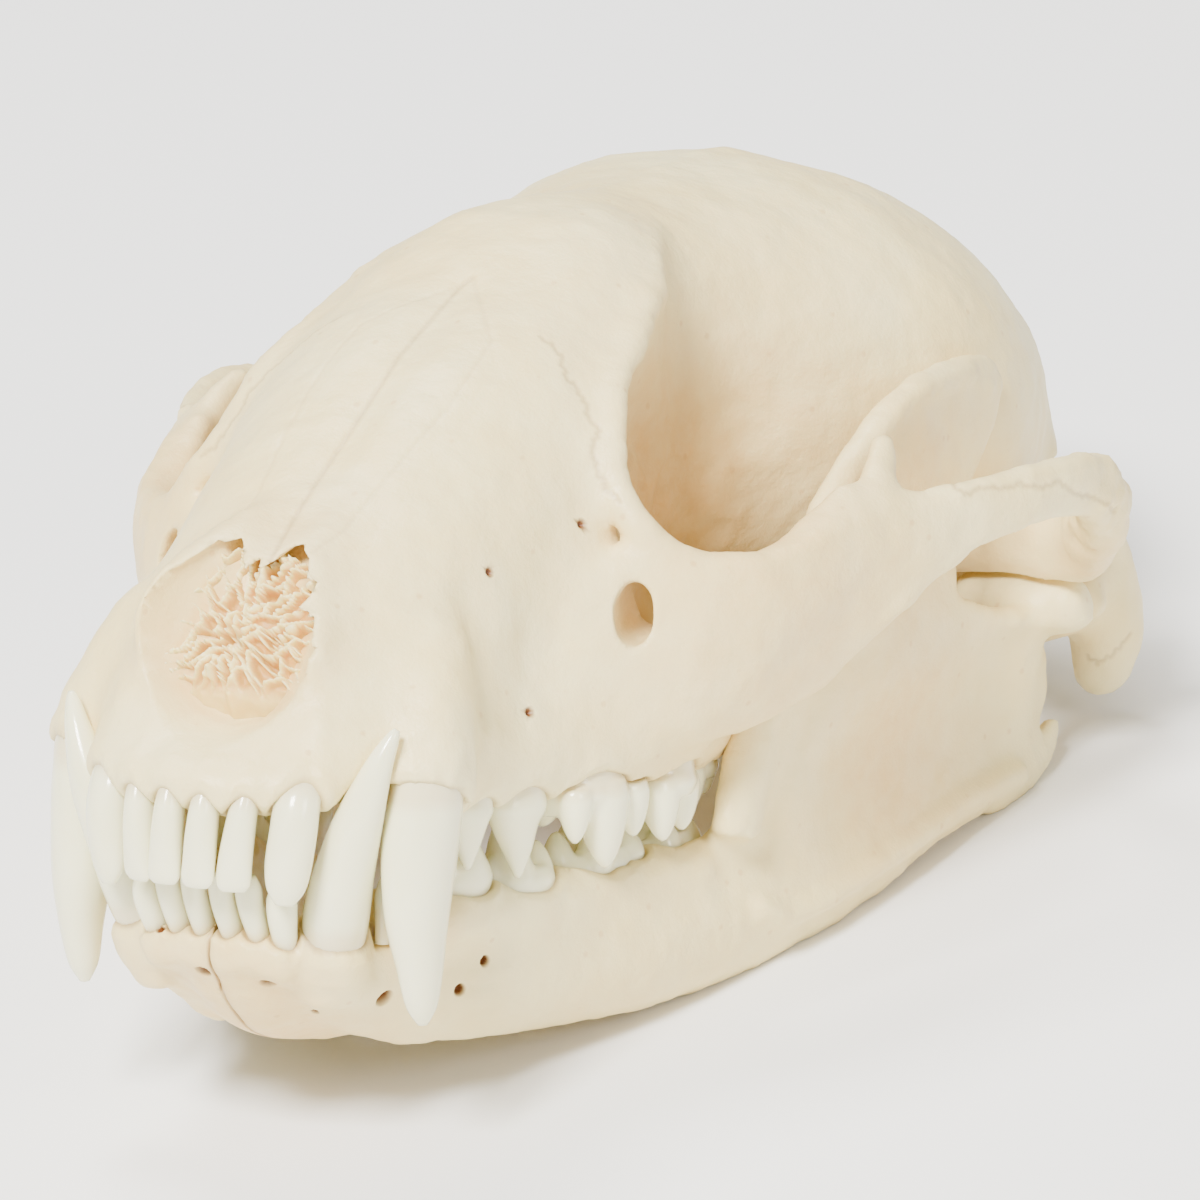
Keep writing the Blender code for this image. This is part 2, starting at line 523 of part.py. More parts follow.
def lower_teeth():
    return {
        "lower_first_incisor": ((1.0, 0.0), 6, (
            ((1.1, 7.2, -13.0), 0.55, 1.0), ((1.15, 5.4, -10.8), 0.75, 1.15), ((1.15, 3.8, -8.4), 0.85, 1.0),
            ((1.15, 2.7, -5.8), 0.85, 0.45)), ()),
        "lower_second_incisor": ((0.96, 0.28), 6, (
            ((2.9, 7.6, -13.2), 0.55, 1.0), ((3.2, 5.6, -10.8), 0.8, 1.15), ((3.3, 4.0, -8.4), 0.92, 1.05),
            ((3.4, 2.9, -5.9), 0.92, 0.5)), ()),
        "lower_third_incisor": ((0.9, 0.44), 6, (
            ((4.6, 8.4, -13.2), 0.55, 0.9), ((5.2, 5.9, -11.2), 0.85, 1.1), ((5.6, 4.5, -8.8), 1.05, 1.0),
            ((5.7, 4.1, -6.9), 0.95, 0.5)), ()),
        "lower_canine": ((0.2, 1.0), 10, (
            ((6.7, 9.9, -13.8), 1.8, 1.7), ((8.4, 7.0, -11.0), 2.4, 2.2), ((9.3, 5.9, -6.0), 2.45, 2.35),
            ((11.1, 5.5, -1.0), 1.95, 1.9), ((12.7, 6.0, 3.0), 1.05, 1.0), ((13.6, 6.7, 5.4), 0.3, 0.3)), ()),
        "lower_first_premolar": ((0.2, 1.0), 6, (
            ((10.8, 10.8, -11.6), 0.6, 0.5), ((11.0, 10.8, -8.6), 0.9, 0.75), ((11.1, 10.8, -7.4), 0.8, 0.6),
            ((11.1, 10.8, -6.4), 0.3, 0.25)), ()),
        "lower_second_premolar": ((0.2, 1.0), 8, (
            ((11.0, 14.6, -12.4), 1.5, 0.9), ((11.1, 14.6, -8.4), 2.1, 1.3), ((11.1, 14.7, -6.8), 1.8, 1.1),
            ((11.1, 14.9, -3.8), 0.3, 0.25)), ()),
        "lower_third_premolar": ((0.15, 1.0), 8, (
            ((11.7, 20.6, -12.8), 2.2, 1.1), ((11.7, 20.6, -8.8), 3.0, 1.6), ((11.7, 20.7, -6.8), 2.5, 1.4),
            ((11.5, 21.2, -3.4), 0.4, 0.3)), ()),
        "lower_fourth_premolar": ((0.18, 1.0), 8, (
            ((12.7, 27.9, -14.0), 2.8, 1.5), ((12.7, 27.7, -10.2), 3.6, 2.1), ((12.4, 27.1, -7.0), 2.8, 1.8),
            ((12.0, 26.3, -4.2), 0.5, 0.4)), ()),
        "lower_first_molar": ((0.19, 1.0), 12, (
            ((14.2, 36.7, -14.0), 4.0, 2.1), ((14.0, 36.7, -10.4), 4.7, 2.6), ((13.6, 36.7, -7.8), 4.5, 2.3)),
            ((30.0, 1.4), (150.0, 1.2), (-30.0, 1.4), (-150.0, 1.2))),
        "lower_second_molar": ((0.12, 1.0), 12, (
            ((15.8, 45.2, -14.0), 2.9, 2.1), ((15.6, 45.2, -10.4), 3.5, 2.5), ((15.2, 45.2, -7.8), 3.3, 2.3)),
            ((35.0, 1.0), (145.0, 1.0), (-35.0, 1.0), (-145.0, 1.0))),
    }


def other_side(stations):
    return tuple(((-x, y, z), high, thick) for (x, y, z), high, thick in stations)


def plant_teeth(teeth, side, sign, sockets):
    """Makes the teeth of one side and adds their sockets to the cutter of the bone they stand in."""
    for label, (row, sides, stations, cusps) in teeth.items():
        if sign < 0:
            along_row = abs(row[1]) > abs(row[0])
            stations = other_side(stations)
            row = (-row[0], row[1]) if along_row else (row[0], -row[1])
            cusps = [(180.0 - at, high) for at, high in cusps] if along_row else cusps
        tooth_skin(side + "_" + label, stations, row, sides, cusps)
        hollow_socket(sockets, stations, row, sides)


clear_scene()
frame = bpy.data.objects.new("measuring_frame", None)
bpy.context.scene.collection.objects.link(frame)
frame.rotation_euler = (math.radians(-REST_TILT), 0.0, 0.0)
frame.location = (0.0, -MIDDLE_Y * MM, TABLE_LIFT * MM)
bone_material = make_material("bone", BONE, 0.45)
tooth_material = make_material("tooth", TOOTH, 0.2)

slab = bmesh.new()
bmesh.ops.create_cube(slab, size=1.0)
bmesh.ops.scale(slab, vec=(200.0, 300.0, 40.0), verts=slab.verts)
bmesh.ops.translate(slab, vec=(0.0, 0.0, -20.0), verts=slab.verts)
table = hide_cutter(finish_mesh("table_cutter", slab))
table.parent = None

cranium = build_cranium()
jaws = {"left": build_jaw("left", 1), "right": build_jaw("right", -1)}
upper_sockets = bmesh.new()
# Each lower canine passes up in front of the upper one, through a notch in the edge of the upper jaw
notch = [((x, y, z), high + GAP, thick + GAP) for (x, y, z), high, thick in lower_teeth()["lower_canine"][2][2:]]
skin(upper_sockets, tube_sections(notch, 10, Vector((0.2, 1.0, 0.0)).normalized()), mirrored=True)
for side, sign in (("left", 1), ("right", -1)):
    lower_sockets = bmesh.new()
    plant_teeth(upper_teeth(), side, sign, upper_sockets)
    plant_teeth(lower_teeth(), side, sign, lower_sockets)
    cut(jaws[side], hide_cutter(finish_mesh(side + "_lower_sockets", lower_sockets)), crossing=True)
cut(cranium, hide_cutter(finish_mesh("upper_sockets", upper_sockets)), crossing=True)
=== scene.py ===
import math
import random

import bmesh
import bpy
import numpy as np
from mathutils import Matrix, Vector, noise
from mathutils.bvhtree import BVHTree


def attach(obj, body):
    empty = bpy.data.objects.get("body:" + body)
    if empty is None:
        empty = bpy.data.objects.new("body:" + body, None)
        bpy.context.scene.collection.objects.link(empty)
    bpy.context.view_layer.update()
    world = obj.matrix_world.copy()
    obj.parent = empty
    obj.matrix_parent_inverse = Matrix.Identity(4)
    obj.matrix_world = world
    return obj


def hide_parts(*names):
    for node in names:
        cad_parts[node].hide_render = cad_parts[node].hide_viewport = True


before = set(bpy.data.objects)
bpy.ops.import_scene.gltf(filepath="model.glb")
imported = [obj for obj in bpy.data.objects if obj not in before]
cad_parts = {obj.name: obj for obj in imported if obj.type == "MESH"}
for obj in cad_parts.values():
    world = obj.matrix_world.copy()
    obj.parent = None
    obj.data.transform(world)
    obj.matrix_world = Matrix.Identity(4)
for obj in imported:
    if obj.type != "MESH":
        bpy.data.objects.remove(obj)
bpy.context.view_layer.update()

# Teeth
# Forty teeth of a young adult, planted in sockets: dentine roots under white, slightly translucent enamel
# that is polished by wear, with a yellower band where the enamel thins out at the neck.

# A skull is measured from its palate: millimetres from the front edge of the upper jaw between the first
# incisors, +X to the animal's left, +Y to the back of the head, +Z square to the palate. The whole skull
# then lies tipped back on the under-edge of its lower jaw, as a bare skull does on a table.
MM = 0.001
REST_TILT = math.radians(14)
MIDDLE_Y = 0.0559
TABLE_LIFT = 0.0311
LIE = (Matrix.Translation((0, -MIDDLE_Y, TABLE_LIFT)) @ Matrix.Rotation(-REST_TILT, 4, "X")
       @ Matrix.Scale(MM, 4))
UPWARD = Vector((0, 0, 1))
BACKWARD = Vector((0, 1, 0))

# incisors, canines and pointed premolars: the way the tooth row runs, the height of the gum, and from the
# root to the tip the centre, half width along the row and half thickness
CANINE_LENGTH = 18.5
PEGS = {
    "upper_first_incisor": ((1, 0), -0.3, (
        ((1.5, 1.8, 1.9), 0.85, 1), ((1.45, 0.4, 0), 1, 1.3), ((1.42, -0.2, -2.2), 1.16, 1.3),
        ((1.4, -0.5, -4.4), 1.28, 0.95), ((1.38, -0.7, -5.8), 1.28, 0.62), ((1.38, -0.7, -6.35), 0.9, 0.3))),
    "upper_second_incisor": ((0.96, 0.28), -0.3, (
        ((4.5, 2.5, 1.9), 0.85, 1), ((4.3, 1.1, 0), 1, 1.3), ((4.15, 0.5, -2.2), 1.15, 1.3),
        ((4, 0.2, -4.4), 1.28, 1), ((3.95, 0.1, -5.9), 1.28, 0.66), ((3.95, 0.1, -6.5), 0.9, 0.32))),
    "upper_third_incisor": ((0.85, 0.53), 0.6, (
        ((7.9, 5.6, 2.6), 0.9, 0.9), ((7.8, 3.6, 1.2), 1.45, 1.3), ((7.75, 2.6, 0), 1.68, 1.5),
        ((7.7, 2.1, -2.2), 1.75, 1.6),
        ((7.45, 1.9, -4.6), 1.72, 1.4), ((7.35, 1.8, -6.3), 1.4, 1), ((7.3, 1.75, -7.4), 0.7, 0.5))),
    "upper_canine": ((0.1, 1), -0.6, (
        ((12.4, 13.6, 6.6), 2.3, 1.9), ((14, 10.9, 2.2), 3, 2.4), ((14, 10.3, -1), 3.3, 2.6),
        ((13.9, 9.9, -4), 3.3, 2.6), ((14, 9.5, -8.5), 2.85, 2.2), ((14.2, 9.8, -12.4), 2.1, 1.6),
        ((14.2, 10.2, -15.4), 1.4, 1.1), ((14.2, 10.4, 1.0 - CANINE_LENGTH + 0.6), 0.45, 0.4))),
    "upper_first_premolar": ((0, 1), -1.6, (
        ((13.3, 14.9, 1.4), 0.6, 0.6), ((13.3, 14.9, -1.8), 0.85, 0.8), ((13.3, 14.9, -3.4), 0.75, 0.65),
        ((13.3, 15, -4.4), 0.3, 0.25))),
    "upper_second_premolar": ((0.12, 1), -1.9, (
        ((13.1, 18.5, 2), 1.9, 1), ((13.2, 18.6, -1.4), 2.25, 1.4), ((13.2, 18.5, -2.5), 2.5, 1.55),
        ((13.2, 18.5, -3.6), 1.9, 1.3), ((13.2, 18.6, -5.2), 1.15, 0.85), ((13.2, 18.7, -6.9), 0.25, 0.22))),
    "upper_third_premolar": ((0.25, 1), -2.3, (
        ((13.9, 24.3, 2), 2, 1.2), ((14.1, 24.3, -1.8), 2.55, 1.7), ((14.1, 24.3, -3), 2.75, 1.9),
        ((14.1, 24.3, -4.4), 2.1, 1.5), ((14.2, 24.5, -6.4), 1.2, 1), ((14.2, 24.7, -8.4), 0.25, 0.22))),
    "lower_first_incisor": ((1, 0), -10, (
        ((1.1, 7.2, -13), 0.55, 1), ((1.15, 5.4, -10.8), 0.78, 1.15), ((1.15, 3.8, -8.4), 0.9, 1),
        ((1.15, 3.1, -6.8), 0.92, 0.75), ((1.15, 2.7, -5.8), 0.7, 0.4))),
    "lower_second_incisor": ((0.96, 0.28), -10.2, (
        ((2.9, 7.6, -13.2), 0.55, 1), ((3.2, 5.6, -10.8), 0.82, 1.15), ((3.3, 4, -8.4), 0.97, 1.05),
        ((3.4, 3.3, -6.9), 1, 0.8), ((3.4, 2.9, -5.9), 0.75, 0.4))),
    "lower_third_incisor": ((0.9, 0.44), -10.8, (
        ((4.6, 8.4, -13.2), 0.55, 0.9), ((5.2, 5.9, -11.2), 0.87, 1.1), ((5.6, 4.5, -8.8), 1.12, 1.05),
        ((5.7, 4.2, -7.4), 1.1, 0.8), ((5.7, 4.1, -6.7), 0.7, 0.4))),
    "lower_canine": ((0.2, 1), -9.8, (
        ((6.4, 10.6, -13.8), 1.8, 1.7), ((7.7, 8.5, -11), 2.35, 2.3), ((8.5, 7.5, -8.4), 2.5, 2.4),
        ((9.5, 6.7, -5.4), 2.25, 2.2), ((11.1, 5.9, -1.2), 1.8, 1.75), ((12.5, 6, 2.6), 1.08, 1.05),
        ((13.3, 6.5, 4.7), 0.6, 0.55), ((13.6, 6.7, 5.4), 0.25, 0.25))),
    "lower_first_premolar": ((0.2, 1), -8.4, (
        ((10, 11.7, -11.6), 0.6, 0.5), ((10.2, 11.7, -8.6), 0.9, 0.75), ((10.2, 11.7, -7.4), 0.8, 0.6),
        ((10.2, 11.7, -6.4), 0.3, 0.25))),
    "lower_second_premolar": ((0.2, 1), -8.6, (
        ((10.6, 14.8, -12), 1.2, 0.7), ((11.1, 14.6, -8.6), 2.1, 1.3), ((11.1, 14.7, -7), 1.9, 1.15),
        ((11.1, 14.8, -5.4), 1.1, 0.75), ((11.1, 14.9, -3.8), 0.25, 0.22))),
    "lower_third_premolar": ((0.15, 1), -9.2, (
        ((11.1, 20.8, -12.2), 1.7, 0.8), ((11.7, 20.6, -9), 2.9, 1.5), ((11.7, 20.6, -7.6), 3, 1.6),
        ((11.6, 20.8, -5.8), 1.8, 1.2), ((11.5, 21.2, -3.4), 0.3, 0.25))),
}
# broad chewing teeth have cusps as well, each with its foot, its radius and its tip
GRINDERS = {
    "upper_fourth_premolar": ((0.33, 0.94), -2.8, (
        ((15, 31.7, 1.4), 3.3, 3), ((15, 31.7, -1.8), 3.9, 3.6), ((15, 31.7, -2.9), 4.2, 3.8),
        ((15.1, 31.8, -4), 3.7, 3.3)), (
        ((16.6, 28.9, -3), 1.45, (16.8, 28.7, -6.3)), ((17.1, 32, -3.2), 2.2, (17.5, 32.3, -8.6)),
        ((17.9, 35, -3.2), 1.6, (18.3, 35.2, -6.6)), ((13, 31, -3), 1.8, (12.8, 31, -5.8)),
        ((13.6, 34, -3), 1.5, (13.5, 34.1, -5.3)))),
    "upper_first_molar": ((0.1, 1), -3, (
        ((16.2, 40.1, 1.4), 2.9, 3.8), ((16.2, 40.1, -2), 3.3, 4.3), ((16.2, 40.1, -3.2), 3.5, 4.6),
        ((16.3, 40.1, -4.4), 3.2, 4.1)), (
        ((18.6, 38.4, -3.6), 1.75, (19.1, 38.4, -7.4)), ((18.6, 41.6, -3.6), 1.7, (19, 41.7, -7.1)),
        ((14.2, 39, -3.4), 1.8, (13.9, 39, -6)), ((14.3, 42, -3.4), 1.5, (14.1, 42.1, -5.6)))),
    "upper_second_molar": ((-0.2, 0.98), -3, (
        ((15.7, 46.7, 1.4), 2.1, 3), ((15.6, 46.7, -2), 2.4, 3.2), ((15.6, 46.7, -3), 2.6, 3.5),
        ((15.6, 46.7, -4), 2.4, 3.1)), (
        ((17.5, 45.4, -3.3), 1.35, (17.9, 45.3, -6.2)), ((17.3, 47.8, -3.3), 1.2, (17.5, 47.9, -5.6)),
        ((13.8, 46.5, -3.2), 1.5, (13.5, 46.6, -5.3)))),
    "lower_fourth_premolar": ((0.18, 1), -10.4, (
        ((12.7, 27.9, -14), 2.8, 1.5), ((12.7, 27.7, -10.6), 3.4, 1.9), ((12.7, 27.7, -9.4), 3.6, 2.1),
        ((12.6, 27.7, -8.2), 3.1, 1.7)), (
        ((12.5, 26.6, -9), 2, (12, 26.2, -4.2)), ((13, 29.6, -9), 1.5, (12.9, 29.8, -6.5)),
        ((12.1, 25, -9), 0.9, (11.8, 24.7, -7)))),
    "lower_first_molar": ((0.19, 1), -10.6, (
        ((14.2, 36.7, -14), 4, 2.1), ((14, 36.7, -10.8), 4.4, 2.4), ((14, 36.7, -9.6), 4.7, 2.6),
        ((13.8, 36.7, -8.3), 4.3, 2.2)), (
        ((13.2, 33, -8.8), 1.35, (12.9, 32.9, -6.4)), ((15, 35.3, -8.8), 1.55, (14.9, 35.3, -5.9)),
        ((12.6, 36, -8.8), 1.4, (12.4, 36, -6)), ((15.5, 39.2, -8.8), 1.55, (15.3, 39.3, -6.6)),
        ((13.3, 39.6, -8.8), 1.3, (13.1, 39.7, -6.8)))),
    "lower_second_molar": ((0.12, 1), -10.6, (
        ((15.8, 45.2, -14), 2.9, 2.1), ((15.6, 45.2, -10.8), 3.3, 2.4), ((15.6, 45.2, -9.6), 3.5, 2.5),
        ((15.3, 45.2, -8.4), 3.1, 2.1)), (
        ((16.5, 43.6, -8.8), 1.4, (16.4, 43.6, -6.8)), ((14.3, 43.9, -8.8), 1.25, (14.1, 43.9, -6.8)),
        ((16.6, 46.8, -8.8), 1.35, (16.5, 46.9, -7)), ((14.7, 46.9, -8.8), 1.2, (14.5, 47, -7.1)))),
}
CUSP_STEPS = ((-0.25, 0.9), (0, 1), (0.35, 0.86), (0.65, 0.62), (0.85, 0.4), (0.96, 0.2), (1, 0.08))
CUSP_VOXEL = 0.2
NECK_TINT = 0.3
SOCKET_MARGIN = 1.5
ENAMEL_CREAM = (0.88, 0.845, 0.54)
ENAMEL_WHITE = (0.90, 0.87, 0.61)
NECK_YELLOW = (0.62, 0.38, 0.14)


def pick(form):
    bpy.ops.object.select_all(action="DESELECT")
    form.select_set(True)
    bpy.context.view_layer.objects.active = form


def flowing(stations, steps):
    """More stations on a smooth curve through the given ones."""
    rows = [np.array([*centre, high, thick], dtype=float) for centre, high, thick in stations]
    rows = [2 * rows[0] - rows[1]] + rows + [2 * rows[-1] - rows[-2]]
    smooth = []
    for k in range(1, len(rows) - 2):
        for j in range(steps):
            t = j / steps
            a, b, c, d = rows[k - 1:k + 3]
            bend = 2 * a - 5 * b + 4 * c - d
            smooth.append(0.5 * (2 * b + (c - a) * t + bend * t * t + (3 * b - a - 3 * c + d) * t ** 3))
    smooth.append(rows[-2])
    return [(tuple(row[:3]), max(row[3], 0.02), max(row[4], 0.02)) for row in smooth]


def round_sections(stations, sides=20, upright=UPWARD):
    """Oval outlines square to a path of (centre, half height, half thickness) stations."""
    rings = []
    for k, (centre, high, thick, *lean) in enumerate(stations):
        before = Vector(stations[max(k - 1, 0)][0])
        after = Vector(stations[min(k + 1, len(stations) - 1)][0])
        along = (after - before).normalized()
        side = along.cross(upright + Vector((lean[0] if lean else 0, 0, 0))).normalized()
        up = side.cross(along).normalized()
        turns = [2.0 * math.pi * j / sides for j in range(sides)]
        rings.append([Vector(centre) + side * thick * math.cos(t) + up * high * math.sin(t) for t in turns])
    return rings


def draw_out(name, rings):
    """Extrudes a filled circle again and again, and puts each new edge in its place."""
    bpy.ops.mesh.primitive_circle_add(vertices=len(rings[0]), radius=1, fill_type="NGON")
    form = bpy.context.object
    form.name = name
    for vert, place in zip(form.data.vertices, rings[0]):
        vert.co = place
    bpy.ops.object.mode_set(mode="EDIT")
    bpy.ops.mesh.select_all(action="SELECT")
    work = bmesh.from_edit_mesh(form.data)
    mark = work.verts.layers.int.new("place")
    work.verts.ensure_lookup_table()
    for k, vert in enumerate(work.verts):
        vert[mark] = k
    for ring in rings[1:]:
        bpy.ops.mesh.extrude_region_move()
        work = bmesh.from_edit_mesh(form.data)
        mark = work.verts.layers.int["place"]
        for vert in work.verts:
            if vert.select:
                vert.co = ring[vert[mark]]
    bmesh.update_edit_mesh(form.data)
    bpy.ops.mesh.select_all(action="SELECT")
    bpy.ops.mesh.normals_make_consistent(inside=False)
    bpy.ops.object.mode_set(mode="OBJECT")
    return form


def draw_along(name, stations, steps=1, sides=20, upright=UPWARD):
    return draw_out(name, round_sections(flowing(stations, steps), sides, upright))


def mirrored(form):
    """Copies a left form to the right side, with its own mesh."""
    pick(form)
    bpy.ops.object.duplicate()
    other = bpy.context.object
    for vert in other.data.vertices:
        vert.co.x = -vert.co.x
    other.data.flip_normals()
    return other


def put_together(name, forms):
    bpy.ops.object.select_all(action="DESELECT")
    for form in forms:
        form.select_set(True)
    bpy.context.view_layer.objects.active = forms[0]
    bpy.ops.object.join()
    forms[0].name = name
    forms[0].data.name = name
    return forms[0]


def apply_modifier(form, kind, **settings):
    pick(form)
    modifier = form.modifiers.new(kind.lower(), kind)
    for key, value in settings.items():
        setattr(modifier, key, value)
    bpy.ops.object.modifier_apply(modifier=modifier.name)


def grow_together(form, voxel):
    apply_modifier(form, "REMESH", mode="VOXEL", voxel_size=voxel)


def read_surface(form):
    """The places and normals of a form's points."""
    spots = np.empty(len(form.data.vertices) * 3)
    form.data.vertices.foreach_get("co", spots)
    normals = np.empty(len(form.data.vertices) * 3)
    form.data.vertices.foreach_get("normal", normals)
    return spots.reshape(-1, 3), normals.reshape(-1, 3)


def write_surface(form, spots):
    form.data.vertices.foreach_set("co", spots.ravel())
    form.data.update()


def fill_creases(form, rounds, wear=0.12, fill=0.6):
    """Fills the creases where forms meet, as bone does, and wears the outer edges only a little."""
    mesh = form.data
    spots, normals = read_surface(form)
    count = len(spots)
    ends = np.empty(len(mesh.edges) * 2, dtype=np.int64)
    mesh.edges.foreach_get("vertices", ends)
    ends = ends.reshape(-1, 2)
    near = np.concatenate([ends[:, 0], ends[:, 1]])
    far = np.concatenate([ends[:, 1], ends[:, 0]])
    degree = np.maximum(np.bincount(near, minlength=count), 1)[:, None]
    for _ in range(rounds):
        write_surface(form, spots)
        spots, normals = read_surface(form)
        mean = np.stack([np.bincount(near, spots[far, k], count) for k in range(3)], axis=1) / degree
        step = mean - spots
        sunk = np.einsum("ij,ij->i", step, normals)[:, None] > 0
        spots = spots + step * np.where(sunk, fill, fill * wear)
    write_surface(form, spots)


def surface_tree(form):
    spots, _ = read_surface(form)
    return BVHTree.FromPolygons([tuple(p) for p in spots], [tuple(f.vertices) for f in form.data.polygons])


def mark_amount(form, name, amount):
    layer = form.data.attributes.new(name, "FLOAT", "POINT")
    layer.data.foreach_set("value", amount)


def dress(piece, material, slot, *nodes):
    """Lays a piece where it lies on the table, flattens what touches it, and dresses it."""
    piece.data.transform(LIE)
    for vert in piece.data.vertices:
        if vert.co.z < 0:
            vert.co.z = 0
    piece.data.update()
    piece.data.materials.clear()
    piece.data.materials.append(material)
    pick(piece)
    bpy.ops.object.shade_smooth()
    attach(piece, "root")
    if nodes:
        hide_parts(*nodes)


def start_material(name):
    material = bpy.data.materials.new(name)
    material.use_nodes = True
    tree = material.node_tree
    return material, tree, tree.nodes.new("ShaderNodeTexCoord").outputs["Object"]


def feed(tree, node, inputs):
    """Sets a shader node's inputs: each takes a value or another node's output."""
    for key, value in inputs.items():
        if isinstance(value, bpy.types.NodeSocket):
            tree.links.new(value, node.inputs[key])
        else:
            node.inputs[key].default_value = value


def add_node(tree, kind, inputs, output=0, **settings):
    node = tree.nodes.new("ShaderNode" + kind)
    for key, value in settings.items():
        setattr(node, key, value)
    feed(tree, node, inputs)
    return node.outputs[output]


def mixed(tree, share, first, second):
    colours = [(*value, 1) if isinstance(value, tuple) else value for value in (first, second)]
    return add_node(tree, "Mix", {0: share, 6: colours[0], 7: colours[1]}, 2, data_type="RGBA")


def marked(tree, name):
    return add_node(tree, "Attribute", {}, "Fac", attribute_name=name)


def enamel_material():
    material, tree, place = start_material("polished_enamel")
    stretched = add_node(tree, "Mapping", {"Vector": place, "Scale": (1, 1, 0.12)})
    streaks = add_node(tree, "TexNoise", {"Vector": stretched, "Scale": 700, "Detail": 4}, "Fac")
    colour = mixed(tree, streaks, ENAMEL_CREAM, ENAMEL_WHITE)
    bump = add_node(tree, "Bump", {"Strength": 0.25, "Distance": 0.00006, "Height": streaks})
    feed(tree, tree.nodes["Principled BSDF"], {
        "Base Color": mixed(tree, marked(tree, "neck"), colour, NECK_YELLOW), "Normal": bump,
        "Roughness": 0.2, "Coat Weight": 0.35, "Coat Roughness": 0.06, "Subsurface Weight": 0.3,
        "Subsurface Radius": (1, 0.8, 0.5), "Subsurface Scale": 0.0015})
    return material


crowns = {}
for label, (row, gum, stations) in PEGS.items():
    crowns[label] = (draw_along(label, stations, 5, 28, Vector((*row, 0)).normalized()), gum)
for label, (row, gum, stations, cusps) in GRINDERS.items():
    parts = [draw_along(label, stations, 3, 32, Vector((*row, 0)).normalized())]
    for base, radius, tip in cusps:
        base, tip = Vector(base), Vector(tip)
        spine = [(tuple(base.lerp(tip, t)), radius * r, radius * r) for t, r in CUSP_STEPS]
        parts.append(draw_out("cusp", round_sections(spine, 20, BACKWARD)))
    crown = put_together(label, parts)
    grow_together(crown, CUSP_VOXEL)
    fill_creases(crown, 5, 0.4)
    crowns[label] = (crown, gum)
# each tooth's surface is kept as it stands in the measuring frame, for the sockets of the bones
planted = {"upper": [], "lower": []}
polished_enamel = enamel_material()
for label, (crown, gum) in crowns.items():
    jaw_label = label.split("_")[0]
    for side, form in (("left", crown), ("right", mirrored(crown))):
        spots, _ = read_surface(form)
        rootward = spots[:, 2] - gum if jaw_label == "upper" else gum - spots[:, 2]
        mark_amount(form, "neck", np.clip(NECK_TINT + rootward, 0, 1) * NECK_TINT)
        low, high = spots.min(axis=0) - SOCKET_MARGIN, spots.max(axis=0) + SOCKET_MARGIN
        planted[jaw_label].append((low, high, surface_tree(form)))
        form.name = f"{side}_{label}_crown"
        dress(form, polished_enamel, "tooth", f"{side}_{label}")

# Cranium
# Snout, forehead and braincase, the cheek arches and the ear bulbs: thin plates of bone that met along wavy
# sutures and have grown together, cleaned and bleached to a warm ivory with a soft satin surface.

# outlines across the head: the points on the palate and on the roof, the half width, how high the widest
# level lies between them, and how square the outline is below and above it
HEAD = (
    ((-0.6, -0.2), (10.9, 14.6), 7.2, 0.40, 3, 2.2),
    ((0.6, -1), (12, 16), 9.3, 0.30, 3, 2.1),
    ((3, -1.4), (14.5, 17.7), 11.2, 0.27, 2.8, 2.1),
    ((7.5, -1.6), (19.6, 21), 12.8, 0.27, 2.8, 2.5),
    ((13, -1.6), (25, 24.4), 13.7, 0.25, 3, 2.7),
    ((20, -1.6), (31, 28.1), 15, 0.25, 3, 2.7),
    ((27, -1.6), (36.5, 30.6), 16.4, 0.28, 3, 2.9),
    ((34, -1.6), (41.5, 32.6), 16.4, 0.34, 3, 2.9),
    ((41, -1), (46, 34.8), 13.6, 0.58, 3, 3),
    ((48, 0.5), (50.5, 36.6), 11.6, 0.72, 3, 3),
    ((55, 1), (55, 37.3), 10.4, 0.74, 3, 2.7),
    ((60, 1.8), (60, 37.2), 11.6, 0.62, 2.6, 2.2),
    ((64, 2.5), (64, 36.9), 14.4, 0.58, 2.4, 2.05),
    ((68, 3.5), (68, 37), 17.8, 0.52, 2.2, 2),
    ((72, 5), (72, 37.3), 20.6, 0.46, 2.2, 2),
    ((76, 6), (76, 37.7), 22.7, 0.42, 2.2, 2.05),
    ((80, 6), (80, 38), 24.1, 0.40, 2.2, 2.1),
    ((85, 5), (85, 37.4), 24.6, 0.40, 2.3, 2.1),
    ((90, 4), (90, 36.1), 24.2, 0.41, 2.3, 2.1),
    ((95, 3.8), (95, 34.2), 22.6, 0.43, 2.3, 2.1),
    ((100, 4.2), (100, 31.7), 20.3, 0.45, 2.3, 2.1),
    ((105, 6), (105, 28.6), 17.4, 0.50, 2.2, 2.1),
    ((109, 8.5), (109, 25.6), 14, 0.52, 2.2, 2.1),
    ((112, 13), (112, 22), 7, 0.50, 2.2, 2.1),
)
TOOTH_RIDGE = (
    ((12.6, 10, 2.4), 4, 2.6),
    ((13, 14, 1.6), 4.3, 2.4),
    ((13, 20, 1.3), 4.2, 2.7),
    ((13.9, 26, 1.1), 4.3, 3.2),
    ((15, 31, 0.9), 4.3, 4),
    ((15.9, 37, 0.8), 4.3, 5),
    ((16.4, 43, 0.8), 4.3, 5),
    ((15.8, 48, 1), 4, 4.4),
    ((15, 51.5, 1.8), 2.8, 2.8),
)
